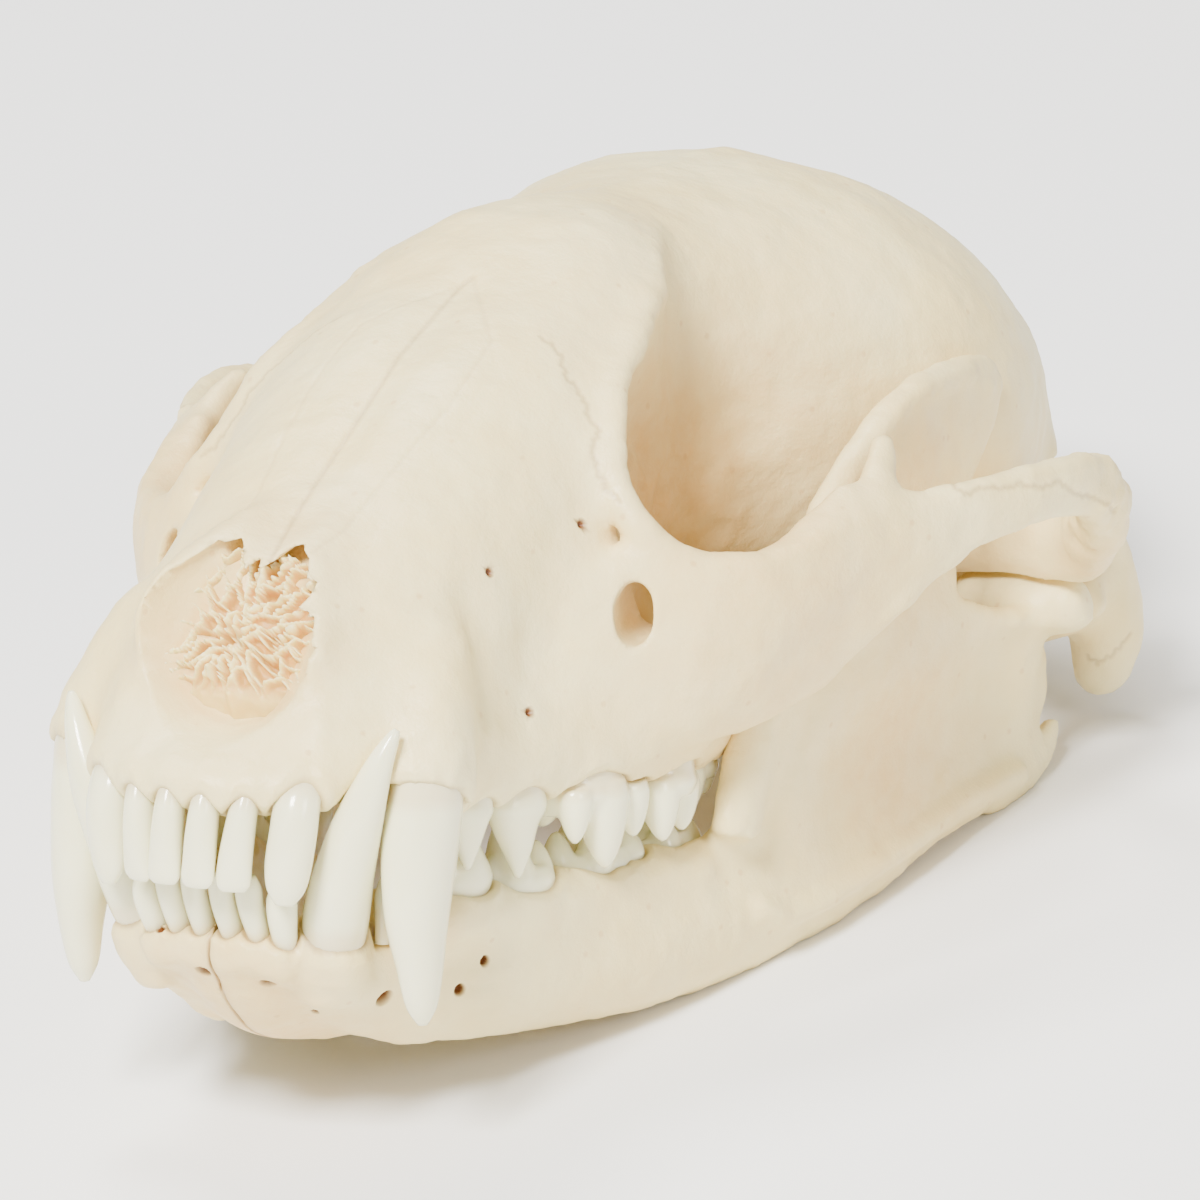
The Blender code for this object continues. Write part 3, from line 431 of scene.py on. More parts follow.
# cheek arch from the face to the joint, with its lean as the last value
ARCH = (
    ((12.5, 29.5, 7), 8.4, 4.4, 0),
    ((17.2, 33.6, 7.3), 8.2, 3.6, 0.1),
    ((21.6, 36.8, 7.5), 7.8, 3, 0.2),
    ((24.9, 41.2, 7.9), 7.6, 2.4, 0.3),
    ((26.8, 46, 9.2), 7.5, 2.1, 0.3),
    ((28.9, 50.6, 12.2), 6.2, 1.9, 0.2),
    ((31.2, 55.6, 14.4), 3.9, 1.7, 0.1),
    ((33.5, 60.2, 15.7), 2.9, 1.6, 0),
    ((35.4, 65.4, 16.5), 2.5, 1.6, 0),
    ((36.2, 70.8, 16.7), 2.7, 1.6, 0),
    ((35.8, 76.2, 15.7), 2.9, 1.9, 0),
    ((34.2, 81.2, 13), 3.3, 2.4, 0),
    ((30.8, 85, 9.8), 3.6, 2.9, 0),
    ((25, 86.6, 9.4), 4, 3.6, 0),
    ((19, 86, 10), 4.4, 4.6, 0),
)
INCISOR_RIM = [((x, 0.9 + 0.050 * x * x, 0.9 + 0.004 * x * x), 2.2, 2.4)
               for x in (-9.4, -6.4, -3.2, 0, 3.2, 6.4, 9.4)]
NAPE_SIDE = (((8.5, 107.6, 25.6), 1.5, 1.7), ((16, 104, 21), 1.5, 1.6), ((20.5, 99, 13), 1.6, 1.6))
NAPE_CREST = [*(((-x, y, z), high, thick) for (x, y, z), high, thick in reversed(NAPE_SIDE)),
              ((0, 109.2, 26.4), 1.6, 2), *NAPE_SIDE]
SKULL_BASE = (((0, 72, 8), 2.4, 6), ((0, 84, 6.2), 2.6, 6), ((0, 96, 5.6), 2.4, 7.6),
              ((0, 105, 7.6), 2.6, 8.4))
LEFT_FORMS = (
    ("tooth_ridge", TOOTH_RIDGE, UPWARD),
    ("canine_swelling", (((14.1, 10.3, -0.4), 4.1, 3.5), ((13, 12.8, 5), 4, 3.5),
                         ((11.2, 16.4, 11), 3.2, 2.8)), BACKWARD),
    ("joint_flange", (((18, 92.4, 3.4), 3.4, 1.5), ((24, 92.6, 3.2), 3.4, 1.5), ((29, 91.6, 5.4), 2.6, 1.5)),
     UPWARD),
    ("ear_tube", (((13, 92, 3), 3.6, 3.6), ((21, 94, 4), 3.2, 3.2), ((26.6, 95, 4.2), 2.8, 2.8)),
     UPWARD),
    ("mastoid", (((24.5, 94.5, 11), 3.4, 3.6), ((26.6, 96.6, 5), 3.4, 3.2), ((26.6, 98.4, 0), 3.3, 3),
                 ((25.6, 99.6, -3.4), 2.5, 2.4), ((25.2, 100, -5), 1.1, 1.1)), BACKWARD),
    ("neck_spike", (((17, 101, 8), 3.2, 3.4), ((17.6, 103, 1.5), 1.8, 2.4), ((17.8, 103.6, -2.6), 0.8, 1.1)),
     BACKWARD),
    ("palate_wing", (((8.2, 54, 3.4), 3.4, 1.6), ((7.6, 64, 3.8), 3.4, 1.3), ((7.2, 72, 4.2), 3.6, 1.1),
                     ((6.9, 78, 3.4), 2.6, 0.9)), UPWARD),
)
SPUR = (((29.6, 50.4, 13.4), 3.6, 1.9), ((28.6, 53.6, 17.8), 2.3, 1.5), ((27.8, 55.8, 20.4), 1.5, 1.1),
        ((27.3, 57.2, 21.8), 0.8, 0.7))
SOCKET_RIM = (
    ((12.4, 46, 30.4), 0.9, 0.9), ((13.6, 41, 27.7), 1.1, 1.1), ((15, 36.9, 24.6), 1.2, 1.2),
    ((16.4, 34.6, 20.6), 1.3, 1.3), ((18.4, 33.9, 17.4), 1.4, 1.4), ((21.2, 35.8, 14.5), 1.4, 1.4),
    ((23.8, 38.6, 13.6), 1.3, 1.3), ((25.6, 42.8, 13.9), 1.2, 1.2), ((26.8, 47.4, 16.2), 1.2, 1.2),
    ((27.8, 51, 18.6), 1.1, 1.1),
)
BROW = (((14, 42, 27.6), 0.9, 0.9), ((12.2, 46.6, 30.4), 1.2, 1.2), ((10.8, 50.4, 31.8), 1.6, 1.5),
        ((8.4, 54.6, 34), 1.2, 1.4), ((5.4, 60, 35.4), 0.9, 1.2))
JOINT_TROUGH = (((17.4, 85.8, 1.6), 6.2, 3.7), ((24.5, 86.3, 1.8), 6.2, 3.8), ((33, 86.9, 2.2), 6.4, 3.7))
CHEEK_CANAL = (((22.4, 27.6, 11.8), 3, 1.6), ((19.8, 31.4, 10.9), 2.5, 1.45), ((18.8, 34.8, 10.9), 2.5, 1.7),
               ((18.8, 40, 13), 3.6, 3))
# the torn edge of the nose opening: the side walls stand forward to it, the hollow goes back under the roof
NOSE_EDGE = (
    (3.7, 11.6, 16.5), (2.6, 12.6, 17.2), (1.7, 12.4, 16.9), (1.1, 11.2, 16.1), (0.5, 10.4, 15.6),
    (0, 11.4, 16.3), (-0.6, 10.5, 15.5), (-1.4, 11.2, 16.4), (-2.1, 11.6, 17.3), (-2.7, 10.8, 17),
    (-3.4, 10, 17), (-4.8, 7.6, 15.6), (-6.2, 5.8, 14.6), (-7, 5.2, 13.2), (-7.3, 5.2, 11.2), (-7, 5.2, 9.2),
    (-6.1, 4.8, 7.4), (-5, 4.5, 5.8), (-3.4, 4.2, 4.5), (-1.6, 4, 3.9), (0.4, 3.8, 3.8), (2.4, 3.8, 4.2),
    (4.2, 4, 5.2), (5.7, 4.5, 6.9), (6.7, 4.9, 8.8), (7.1, 5.4, 10.8), (6.2, 6.6, 12.6), (4.6, 7.8, 13.4),
    (5.4, 7.9, 14.6), (4.3, 9.6, 15.3),
)
NOSE_CENTRE_Z = 10.0
HEAD_VOXEL = 0.8
ARCH_VOXEL = 0.6
CRANIUM_VOXEL = 0.67


def power(value, exponent):
    """The signed power that turns a circle's cosine or sine into that of a squarer outline."""
    return math.copysign(abs(value) ** (2.0 / exponent), value)


def section(bottom, top, half_width, level, low, high, sides=40):
    """An outline across the head between two midline points, widest at a level between them."""
    points = []
    for k in range(sides):
        turn = 2.0 * math.pi * k / sides
        shape = high if math.sin(turn) > 0 else low
        rise = power(math.sin(turn), shape)
        along = level + (1.0 - level) * rise if rise > 0 else level + level * rise
        y = bottom[0] + (top[0] - bottom[0]) * along
        z = bottom[1] + (top[1] - bottom[1]) * along
        points.append(Vector((half_width * power(math.cos(turn), shape), y, z)))
    return points


def egg(name, centre, radii, segments=40):
    bpy.ops.mesh.primitive_uv_sphere_add(segments=segments, ring_count=segments * 3 // 5, radius=1)
    form = bpy.context.object
    form.name = name
    for vert in form.data.vertices:
        vert.co = Vector([c + r * v for c, r, v in zip(centre, radii, vert.co)])
    return form


def carve(form, cutter):
    apply_modifier(form, "BOOLEAN", operation="DIFFERENCE", solver="EXACT", object=cutter)
    bpy.data.objects.remove(cutter)


def both(form):
    return [form, mirrored(form)]


def nose_rings(reaches, wall=0.0):
    middle = Vector((0, 0, NOSE_CENTRE_Z))
    rings = []
    for reach, spread in reaches:
        ring = []
        for x, y, z in NOSE_EDGE:
            outward = Vector((x, 0, z)) - middle
            outward.normalize()
            thick = wall * (1.0 if z < 12.5 else 0.55)
            lift = 0.38 * (z - 3.8) / 13.0 * max(reach, 0.0) + 0.10 * min(reach, 0.0)
            high = NOSE_CENTRE_Z + (z - NOSE_CENTRE_Z) * (0.5 + spread / 2) + lift
            ring.append(Vector((x * spread + outward.x * thick, y + reach, high + outward.z * thick)))
        rings.append(ring)
    return rings


forms = [draw_out("head", [section(*station) for station in HEAD]), draw_along("incisor_rim", INCISOR_RIM),
         draw_along("nape_crest", NAPE_CREST), draw_along("skull_base", SKULL_BASE)]
for label, stations, upright in LEFT_FORMS:
    forms += both(draw_along(label, stations, 3, upright=upright))
forms += both(egg("ear_bulb", (12.2, 91, 1.8), (6.2, 8.8, 5.6)))
forms += both(egg("neck_knuckle", (7.4, 107.4, 11.4), (3.6, 4.2, 5.4)))
cranium = put_together("cranium_bone", forms)
grow_together(cranium, HEAD_VOXEL)
carve(cranium, put_together("eye_sockets", both(egg("eye_socket", (23, 49.5, 20.5), (13.2, 17, 12.6)))))
carve(cranium, egg("throat", (0, 77, 3), (5.4, 13, 4.6)))
carve(cranium, egg("palate", (0, 30, -5.2), (10.2, 36, 6.4)))

arch = draw_out("arch", round_sections(ARCH))
spur = draw_along("spur", SPUR, upright=BACKWARD)
socket_rim = draw_along("socket_rim", SOCKET_RIM, 4)
brow = draw_along("brow", BROW, 4)
nose_walls = draw_out("nose_walls", nose_rings(((0.1, 1), (2.5, 1), (6, 0.98)), 0.95))
arches = put_together("arches", [*both(arch), *both(spur), *both(socket_rim), *both(brow), nose_walls])
grow_together(arches, ARCH_VOXEL)
cranium = put_together("cranium_bone", [cranium, arches])
grow_together(cranium, CRANIUM_VOXEL)
fill_creases(cranium, 20)

carve(cranium, put_together("joint_troughs", both(draw_along("joint_trough", JOINT_TROUGH))))
carve(cranium, draw_out("nose_hollow", nose_rings(((-7, 1), (0, 1), (3, 0.93), (6, 0.82)))))
carve(cranium, put_together("cheek_canals", both(draw_along("cheek_canal", CHEEK_CANAL, 3, 32))))
carve(cranium, egg("neck_opening", (0, 112.5, 17.2), (6.2, 12, 5.6)))
apply_modifier(cranium, "TRIANGULATE")
fill_creases(cranium, 2, 0.6)

# the relief of the plates: roots that stand out, hollows behind them, lines where muscles held; each with
# its reach, its depth and the way the bone there has to face
RELIEF = (
    (((12.9, 15.4, 2), (12.6, 16.6, 7), (11.6, 19, 12)), 3.4, 0.55, (1, 0, 0)),
    (((14.6, 23, 4.5), (15, 25, 9)), 5, 0.5, (1, 0, 0)),
    (((14.6, 18.5, 0.4), (14.8, 18.6, 3.4)), 1.5, -0.22, (1, 0, 0)),
    (((15, 24.3, 0.2), (15.2, 24.4, 4)), 1.8, -0.28, (1, 0, 0)),
    (((17.5, 30, 0.2), (17.6, 30.2, 3.6)), 1.5, -0.25, (1, 0, 0)),
    (((19.4, 34.6, 0), (19.6, 34.7, 3.6)), 1.7, -0.28, (1, 0, 0)),
    (((20.8, 39.6, -0.2), (20.6, 39.7, 3)), 2, -0.25, (1, 0, 0)),
    (((1.6, 1, 1), (1.6, 2.2, 4)), 1.2, -0.22, (0, -1, 0)),
    (((4.6, 1.8, 1), (4.6, 3, 4.2)), 1.3, -0.24, (0, -1, 0)),
    (((8, 3.6, 1), (8, 5, 5.4)), 1.6, -0.35, (0, -1, 0)),
    (((0, 0.9, 1.2), (0, 2.4, 4)), 0.6, 0.25, (0, -1, 0)),
    (((11.3, 6.4, -0.6), (11.6, 8, 0.6), (11.7, 9.4, 2)), 2.2, 1.3, None),
    (((9, 8, -2.4), (10.6, 9.4, -1.2)), 2.6, 1.2, None),
    (((27.4, 45.8, 2.6), (29.4, 49.8, 5.6), (31.2, 54, 9.6), (33.2, 58.6, 12)), 1.5, -0.45, None),
    (((26.4, 42, 6), (28.6, 47, 9), (31, 52.6, 12.6)), 3, 0.3, (1, -0.6, 0)),
    (((33.4, 57.6, 17.6), (35.8, 64.6, 18.4), (37.4, 71.6, 18.6), (36.9, 77.6, 17.2)), 1.3, -0.3, None),
    (((34, 58, 14.8), (36.8, 66, 15.6), (37.6, 72, 15.8)), 2, 0.3, (1, 0, 0)),
    (((13.4, 56, 26), (15, 60, 22)), 7, 0.8, (1, -0.5, 0)),
    (((8.5, 52, 14), (11, 56, 12)), 6, 0.5, (1, -0.3, 0)),
    (((0, 20, 22), (0, 30, 28.5), (0, 40, 33)), 3, 0.22, (0, -0.3, 1)),
    (((0, 64, 37.4), (0, 80, 38.6), (0, 100, 32.4)), 2.5, -0.12, (0, 0, 1)),
    (((27, 97.2, 2), (27.6, 98, 0)), 1.6, -0.5, (1, 0, 0)),
)
# crumpled bone: its centre, how it is stretched and its spread
CRUMPLED = (((8.5, 48, 14), (1, 0.5, 0.8), 60.0), ((35.5, 78, 14), (1, 1, 1), 50.0))


def near_path(spots, path, reach):
    """Which points lie within reach of a path, and how far from it."""
    line = np.array([tuple(point) for point in path])
    low, high = line.min(axis=0) - reach, line.max(axis=0) + reach
    picked = np.nonzero(np.all((spots > low) & (spots < high), axis=1))[0]
    best = np.full(len(picked), 1e9)
    ends = line[1:] if len(line) > 1 else line
    for start, end in zip(line, ends):
        along = end - start
        share = np.clip(((spots[picked] - start) @ along) / max(along @ along, 1e-12), 0.0, 1.0)
        gap = spots[picked] - start - share[:, None] * along
        best = np.minimum(best, np.sqrt((gap * gap).sum(axis=1)))
    return picked, best


def press(form, path, reach, depth, facing=None, mirror=True):
    """Presses the surface in along a path, or raises it where the depth is negative."""
    paths = [path, [(-x, y, z) for x, y, z in path]] if mirror else [path]
    for side, line in enumerate(paths):
        spots, normals = read_surface(form)
        picked, gap = near_path(spots, line, reach)
        weight = np.clip(1.0 - gap / reach, 0.0, 1.0)
        weight = weight * weight * (3.0 - 2.0 * weight)
        if facing:
            toward = np.array([-facing[0] if side else facing[0], facing[1], facing[2]])
            weight = weight * np.clip(normals[picked] @ toward * 2.0, 0.0, 1.0)
        spots[picked] -= normals[picked] * (depth * weight)[:, None]
        write_surface(form, spots)


def uneven(spots, height, wave, ripple):
    """Low swells and finer ripples, as grown bone has."""
    return np.array([height * noise.fractal(Vector(spot) * wave, 0.8, 2.0, 3)
                     + 0.07 * noise.noise(Vector(spot) * ripple) for spot in spots])


for path, reach, depth, facing in RELIEF:
    press(cranium, path, reach, depth, facing)
spots, normals = read_surface(cranium)
rough = np.zeros(len(spots))
for centre, stretch, spread in CRUMPLED:
    for turn in (1, -1):
        gap = (spots - (centre[0] * turn, *centre[1:])) * stretch
        rough += np.exp(-(gap ** 2).sum(axis=1) / spread)
crumple = np.array([noise.fractal(Vector(spot) * 0.42, 0.9, 2.1, 4) if r > 0.02 else 0.0
                    for spot, r in zip(spots, rough)])
write_surface(cranium, spots + normals * (uneven(spots, 0.20, 0.16, 0.8) + 0.6 * rough * crumple)[:, None])

# the long lens that the skull is seen through: sutures and small nerve holes are laid along its view onto
# the bone, where they are seen, and on the other side to match
LENS_AZIMUTH = math.radians(27.563)
LENS_RISE = math.radians(10.046)
LENS_ROLL = math.radians(-1.240)
LENS_SHIFT = (-6.433, 2.749)
LENS_DISTANCE = 1000.0
PICTURE = 1200
FOCAL_PIXELS = 13232.0
AIM = Vector((0, 50, 10))
lens_back = Vector((math.sin(LENS_AZIMUTH) * math.cos(LENS_RISE),
                    -math.cos(LENS_AZIMUTH) * math.cos(LENS_RISE), math.sin(LENS_RISE)))
level_right = Vector((math.cos(LENS_AZIMUTH), math.sin(LENS_AZIMUTH), 0))
level_up = lens_back.cross(level_right)
lens_right = level_right * math.cos(LENS_ROLL) - level_up * math.sin(LENS_ROLL)
lens_up = level_right * math.sin(LENS_ROLL) + level_up * math.cos(LENS_ROLL)
lens_place = AIM - lens_right * LENS_SHIFT[0] - lens_up * LENS_SHIFT[1] + lens_back * LENS_DISTANCE
NASAL_MIDLINE = ((270, 560), (305, 500), (345, 440), (400, 355), (460, 287), (472, 277))
NASAL_SIDE = ((313, 552), (345, 530), (372, 495), (410, 450), (450, 405), (492, 340), (480, 300), (472, 277))
CHEEK_SUTURE = ((540, 335), (560, 352), (567, 376), (580, 390), (588, 412), (600, 430), (593, 445),
                (596, 466), (606, 488), (620, 502))
ARCH_SUTURE = ((950, 484), (968, 494), (985, 487), (1000, 489), (1020, 484), (1040, 487), (1060, 481),
               (1075, 492), (1100, 500), (1115, 512))
MASTOID_SUTURE = ((1088, 656), (1096, 664), (1108, 658), (1122, 646), (1130, 634))
SMALL_HOLES = ((582, 524), (490, 572), (530, 712))
SEAM_WIDTH = 0.3
SOCKET_GAP = 0.45
SOCKET_LIP = 0.16
LIP_PLACE, LIP_SPREAD = 0.7, 0.4
BED_REACH = 0.9
NECK_BAND = 0.34


def trace(tree, pixels, spacing=5.0, wiggle=0.0, seed=1):
    """Lays a line that is seen on the bone onto the bone: each point goes along the view to the surface."""
    shake = random.Random(seed)
    seen = []
    for start, end in zip(pixels[:-1], pixels[1:]):
        count = max(1, round(math.dist(start, end) / spacing))
        for k in range(count):
            seen.append([a + (b - a) * k / count + shake.uniform(-wiggle, wiggle)
                         for a, b in zip(start, end)])
    line = []
    for u, v in [*seen, pixels[-1]]:
        over, above = (u - PICTURE / 2) / FOCAL_PIXELS, (PICTURE / 2 - v) / FOCAL_PIXELS
        ray = (lens_right * over + lens_up * above - lens_back).normalized()
        hit = tree.ray_cast(lens_place, ray)[0]
        if hit is not None:
            line.append(tuple(hit))
    return line


def across(tree, line):
    """The same line on the other side of the head."""
    return [tuple(tree.find_nearest((-x, y, z))[0]) for x, y, z in line]


def split_faces(form, close, cuts):
    """Splits the faces whose points are all marked into smaller ones."""
    pick(form)
    bpy.ops.object.mode_set(mode="EDIT")
    bpy.ops.mesh.select_mode(type="VERT")
    bpy.ops.mesh.select_all(action="DESELECT")
    work = bmesh.from_edit_mesh(form.data)
    work.verts.ensure_lookup_table()
    for k in np.nonzero(close)[0]:
        work.verts[k].select = True
    work.select_flush(True)
    bmesh.update_edit_mesh(form.data)
    bpy.ops.mesh.subdivide(number_cuts=cuts)
    bpy.ops.object.mode_set(mode="OBJECT")


def refine(form, paths, reach, cuts):
    """Gives the bone near some paths a finer mesh."""
    spots, _ = read_surface(form)
    close = np.zeros(len(spots), dtype=bool)
    for path in paths:
        picked, gap = near_path(spots, path, reach)
        close[picked[gap < reach]] = True
    split_faces(form, close, cuts)
    apply_modifier(form, "TRIANGULATE")


def seam_amount(form, paths, width):
    spots, _ = read_surface(form)
    amount = np.zeros(len(spots))
    for path in paths:
        picked, gap = near_path(spots, path, width * 2.0)
        amount[picked] = np.maximum(amount[picked], np.clip(1.0 - gap / width, 0.0, 1.0))
    return amount


def sink(form, amount, depth):
    spots, normals = read_surface(form)
    write_surface(form, spots - normals * (amount * depth)[:, None])


def nearest_tooth(form, jaw_label):
    """How far each point of a bone is from the nearest tooth of a jaw, up to 3 mm."""
    spots, _ = read_surface(form)
    far = np.full(len(spots), 3.0)
    for low, high, tree in planted[jaw_label]:
        for k in np.nonzero(np.all((spots > low) & (spots < high), axis=1))[0]:
            far[k] = min(far[k], tree.find_nearest(tuple(spots[k]))[3])
    return far


def neck_band(far):
    return np.clip(1.15 - far / NECK_BAND, 0.0, 1.0)


def bed_teeth(form, jaw_label):
    """Opens a thin gap with a low lip round each tooth's neck; returns how near the necks are."""
    split_faces(form, nearest_tooth(form, jaw_label) < BED_REACH, 2)
    far = nearest_tooth(form, jaw_label)
    spots, normals = read_surface(form)
    dip = np.clip(1.0 - far / SOCKET_GAP, 0.0, 1.0)
    spots -= normals * (SOCKET_GAP * dip * dip)[:, None]
    spots += normals * (SOCKET_LIP * np.clip(1.0 - np.abs(far - LIP_PLACE) / LIP_SPREAD, 0.0, 1.0))[:, None]
    write_surface(form, spots)
    apply_modifier(form, "TRIANGULATE")
    return neck_band(far)


def read_amount(form, name):
    amount = np.empty(len(form.data.vertices))
    form.data.attributes[name].data.foreach_get("value", amount)
    return amount


tree = surface_tree(cranium)
midline = trace(tree, NASAL_MIDLINE, 6.0)
side_seam = trace(tree, NASAL_SIDE, 5.0, 0.8, 3)
wavy = [trace(tree, line, 3.0, 2.2, seed)
        for seed, line in ((5, CHEEK_SUTURE), (7, ARCH_SUTURE), (9, MASTOID_SUTURE))]
holes_with_painted_shade = [hole for hole in (trace(tree, (pixel,)) for pixel in SMALL_HOLES) if hole]
strong = [midline] + wavy + [across(tree, line) for line in wavy]
faint = [side_seam, across(tree, side_seam)]
holes_with_painted_shade = holes_with_painted_shade + [across(tree, hole) for hole in holes_with_painted_shade]
refine(cranium, strong + faint + holes_with_painted_shade, 0.9, 2)
# the seams are stained; the small nerve openings are painted dark brown as the shade inside them
seams_and_hole_shade = np.maximum(seam_amount(cranium, strong, SEAM_WIDTH) * 0.36, seam_amount(cranium, faint, 0.26) * 0.12)
seams_and_hole_shade = np.maximum(seams_and_hole_shade, np.clip(seam_amount(cranium, holes_with_painted_shade, 0.5) * 2.5, 0.0, 1.0))
mark_amount(cranium, "seams_and_hole_shade", seams_and_hole_shade)
for paths, width, depth in ((strong, SEAM_WIDTH, 0.09), (faint, SEAM_WIDTH, 0.06), (holes_with_painted_shade, 0.42, 0.7)):
    sink(cranium, seam_amount(cranium, paths, width), depth)
necks = bed_teeth(cranium, "upper")
# stained seams and tooth necks, with painted shade in the small nerve openings
mark_amount(cranium, "stain_and_hole_shade", np.maximum(read_amount(cranium, "seams_and_hole_shade"), necks * 0.5))

# painted shade, laid as a tan tint where the bone's recesses and undersides fall in shade: centre, reach and
# strength
PAINTED_SHADE_PATCHES = (
    ((19, 46, 11), 15, 1), ((10, 52, 16), 17, 0.85), ((12, 62, 22), 14, 0.45), ((0, 16, 11), 9, 0.9),
    ((3.2, 8.2, 8.6), 5.6, 0.85), ((18.6, 34.6, 11), 4, 0.25), ((30, 64, 10), 10, 0.15),
    ((18, 82, 6), 18, 0.5), ((0, 60, 0), 20, 0.4), ((0, 104, 14), 10, 0.4), ((10.8, 9.4, 1.6), 3.4, 0.7),
    ((33, 83, 8), 7, 0.5), ((24, 46, 2), 8, 0.3),
)
IVORY = (0.865, 0.755, 0.41)
CREAM = (0.85, 0.69, 0.325)
# the tan of the painted shade
SHADE_TAN = (0.77, 0.46, 0.15)
SPECK = (0.55, 0.27, 0.09)
# brown for stained seams and tooth necks, and painted shade in the small nerve openings
STAIN_AND_HOLE_SHADE = (0.17, 0.055, 0.01)


# painted shade: a tan amount that fades away from each patch's centre
def mark_painted_shade(form, patches, sides):
    spots, _ = read_surface(form)
    painted_shade = np.zeros(len(spots))
    for centre, reach, strength in patches:
        for turn in sides:
            gap = ((spots - (centre[0] * turn, centre[1], centre[2])) ** 2).sum(axis=1) / reach ** 2
            painted_shade = np.maximum(painted_shade, strength * np.exp(-gap * 1.6))
    mark_amount(form, "painted_shade", painted_shade)


def bone_material():
    """Bleached bone: warm ivory, painted shade as tan in the hollows and as dark brown in the small nerve
    openings, orange-brown stained seams, a satin skin.
    """
    material, tree, place = start_material("satin_bone")

    def clouded(scale, detail, roughness):
        settings = {"Vector": place, "Scale": scale, "Detail": detail, "Roughness": roughness}
        return add_node(tree, "TexNoise", settings, "Fac")

    def ranged(source, low, high, to_low, to_high):
        return add_node(tree, "MapRange", {"Value": source, "From Min": low, "From Max": high,
                                           "To Min": to_low, "To Max": to_high}, "Result")

    mottle = clouded(420, 5, 0.65)
    specks = add_node(tree, "TexVoronoi", {"Vector": place, "Scale": 330}, "Distance")
    colour = mixed(tree, ranged(clouded(90, 4, 0.6), 0.35, 0.65, 0, 1), IVORY, CREAM)
    painted_shade = add_node(tree, "Math", {0: marked(tree, "painted_shade"), 1: ranged(mottle, 0.3, 0.7, 0.65, 1.1)},
                      operation="MULTIPLY")
    # painted shade: the tan tint laid over the recesses and undersides
    colour = mixed(tree, painted_shade, colour, SHADE_TAN)
    colour = mixed(tree, ranged(specks, 0.05, 0.11, 0.30, 0), colour, SPECK)
    # stained seams and tooth necks, and painted shade in the small nerve openings
    colour = mixed(tree, marked(tree, "stain_and_hole_shade"), colour, STAIN_AND_HOLE_SHADE)
    fine = add_node(tree, "Bump", {"Strength": 0.35, "Distance": 0.00005, "Height": clouded(2600, 3, 0.6)})
    coarse = add_node(tree, "Bump", {"Strength": 0.5, "Distance": 0.0004, "Height": mottle, "Normal": fine})
    feed(tree, tree.nodes["Principled BSDF"], {
        "Base Color": colour, "Normal": coarse, "Roughness": ranged(mottle, 0.3, 0.7, 0.36, 0.52),
        "Specular IOR Level": 0.45, "Subsurface Weight": 0.08, "Subsurface Radius": (1, 0.55, 0.3),
        "Subsurface Scale": 0.0012})
    return material


mark_painted_shade(cranium, PAINTED_SHADE_PATCHES, (1, -1))
satin_bone = bone_material()
dress(cranium, satin_bone, "bone", "cranium")

# Scroll bones
# Paper-thin plates that branch inside the nose and carried its lining, open at the front like a torn comb.
# They are grown from the cranium's own walls and are more orange than the outside of the bone, and the deep
# cells between the plates are painted brown as shade.
SCROLL_MIDDLE = Vector((-0.4, 8, 11.2))
SCROLL_UP = Vector((0, 0.50, 0.866)).normalized()
SCROLL_IN = Vector((0, 0.866, -0.50)).normalized()
SCROLL_RIGHT = Vector((1, 0, 0))
SCROLL_HUB = (-0.9, -0.5)
SCROLL_RINGS = ((0.9, 7), (2.3, 13), (4.0, 19), (5.9, 26), (7.9, 32))
SCROLL_DEPTH = 2.4
SCROLL_HALF_WIDTH = 7.8
SCROLL_TOP, SCROLL_BOTTOM = 6.5, 7.3
SCROLL_COLUMNS, SCROLL_ROWS = 118, 112
PLATE_THICKNESS = 0.16
SCROLL_YELLOW = (0.92, 0.77, 0.37)
SCROLL_ORANGE = (0.87, 0.66, 0.26)
# painted shade for the deep cells between the plates
PIT_SHADE_BROWN = (0.55, 0.28, 0.05)

# each cell between the plates has its place round the hub and its depth
spread = random.Random(11)
cells = []
for ring_reach, count in SCROLL_RINGS:
    for k in range(count):
        turn = 2.0 * math.pi * (k + 0.35 * spread.uniform(-1, 1)) / count + ring_reach
        reach = ring_reach + 0.5 * spread.uniform(-1, 1)
        cells.append((reach, turn, spread.uniform(0.55, 1.0)))
sheet_a = np.tile(np.linspace(-1, 1, SCROLL_COLUMNS), SCROLL_ROWS)
sheet_b = np.repeat(np.linspace(-1, 1, SCROLL_ROWS), SCROLL_COLUMNS)
grid_a = SCROLL_HALF_WIDTH * sheet_a * np.sqrt(1.0 - sheet_b ** 2 / 2.0)
grid_b = np.where(sheet_b > 0, SCROLL_TOP, SCROLL_BOTTOM) * sheet_b * np.sqrt(1.0 - sheet_a ** 2 / 2.0)


def waves(measure, scale, layer):
    return np.array([measure(Vector((a * scale, b * scale, layer))) for a, b in zip(grid_a, grid_b)])


warp_a = grid_a + 0.7 * waves(noise.noise, 0.55, 3.0) - SCROLL_HUB[0]
warp_b = grid_b + 0.7 * waves(noise.noise, 0.55, 9.0) - SCROLL_HUB[1]
reach, turn = np.hypot(warp_a, warp_b), np.arctan2(warp_b, warp_a)
first, second = np.full(len(reach), 1e9), np.full(len(reach), 1e9)
deep = np.ones(len(reach))
for cell_reach, cell_turn, cell_deep in cells:
    swing = (turn - cell_turn + math.pi) % (2.0 * math.pi) - math.pi
    gap = np.hypot((reach - cell_reach) * 0.38, swing * 0.5 * (reach + cell_reach) * 1.25)
    closer = gap < first
    second = np.where(closer, first, np.minimum(second, gap))
    deep = np.where(closer, cell_deep, deep)
    first = np.where(closer, gap, first)
floor_share = np.clip((-3.6 - grid_b) / 1.0, 0.0, 1.0)
wall = np.exp(-(((second - first) / PLATE_THICKNESS) ** 2)) * (1.0 - floor_share)
crest_wave = waves(lambda spot: noise.fractal(spot, 0.8, 2.0, 3), 0.5, 21.0)
depth = (SCROLL_DEPTH * deep * (1.0 - wall) * (1.0 - floor_share) + 0.4 * np.clip(crest_wave, -1, 1)
         + 0.05 * reach)
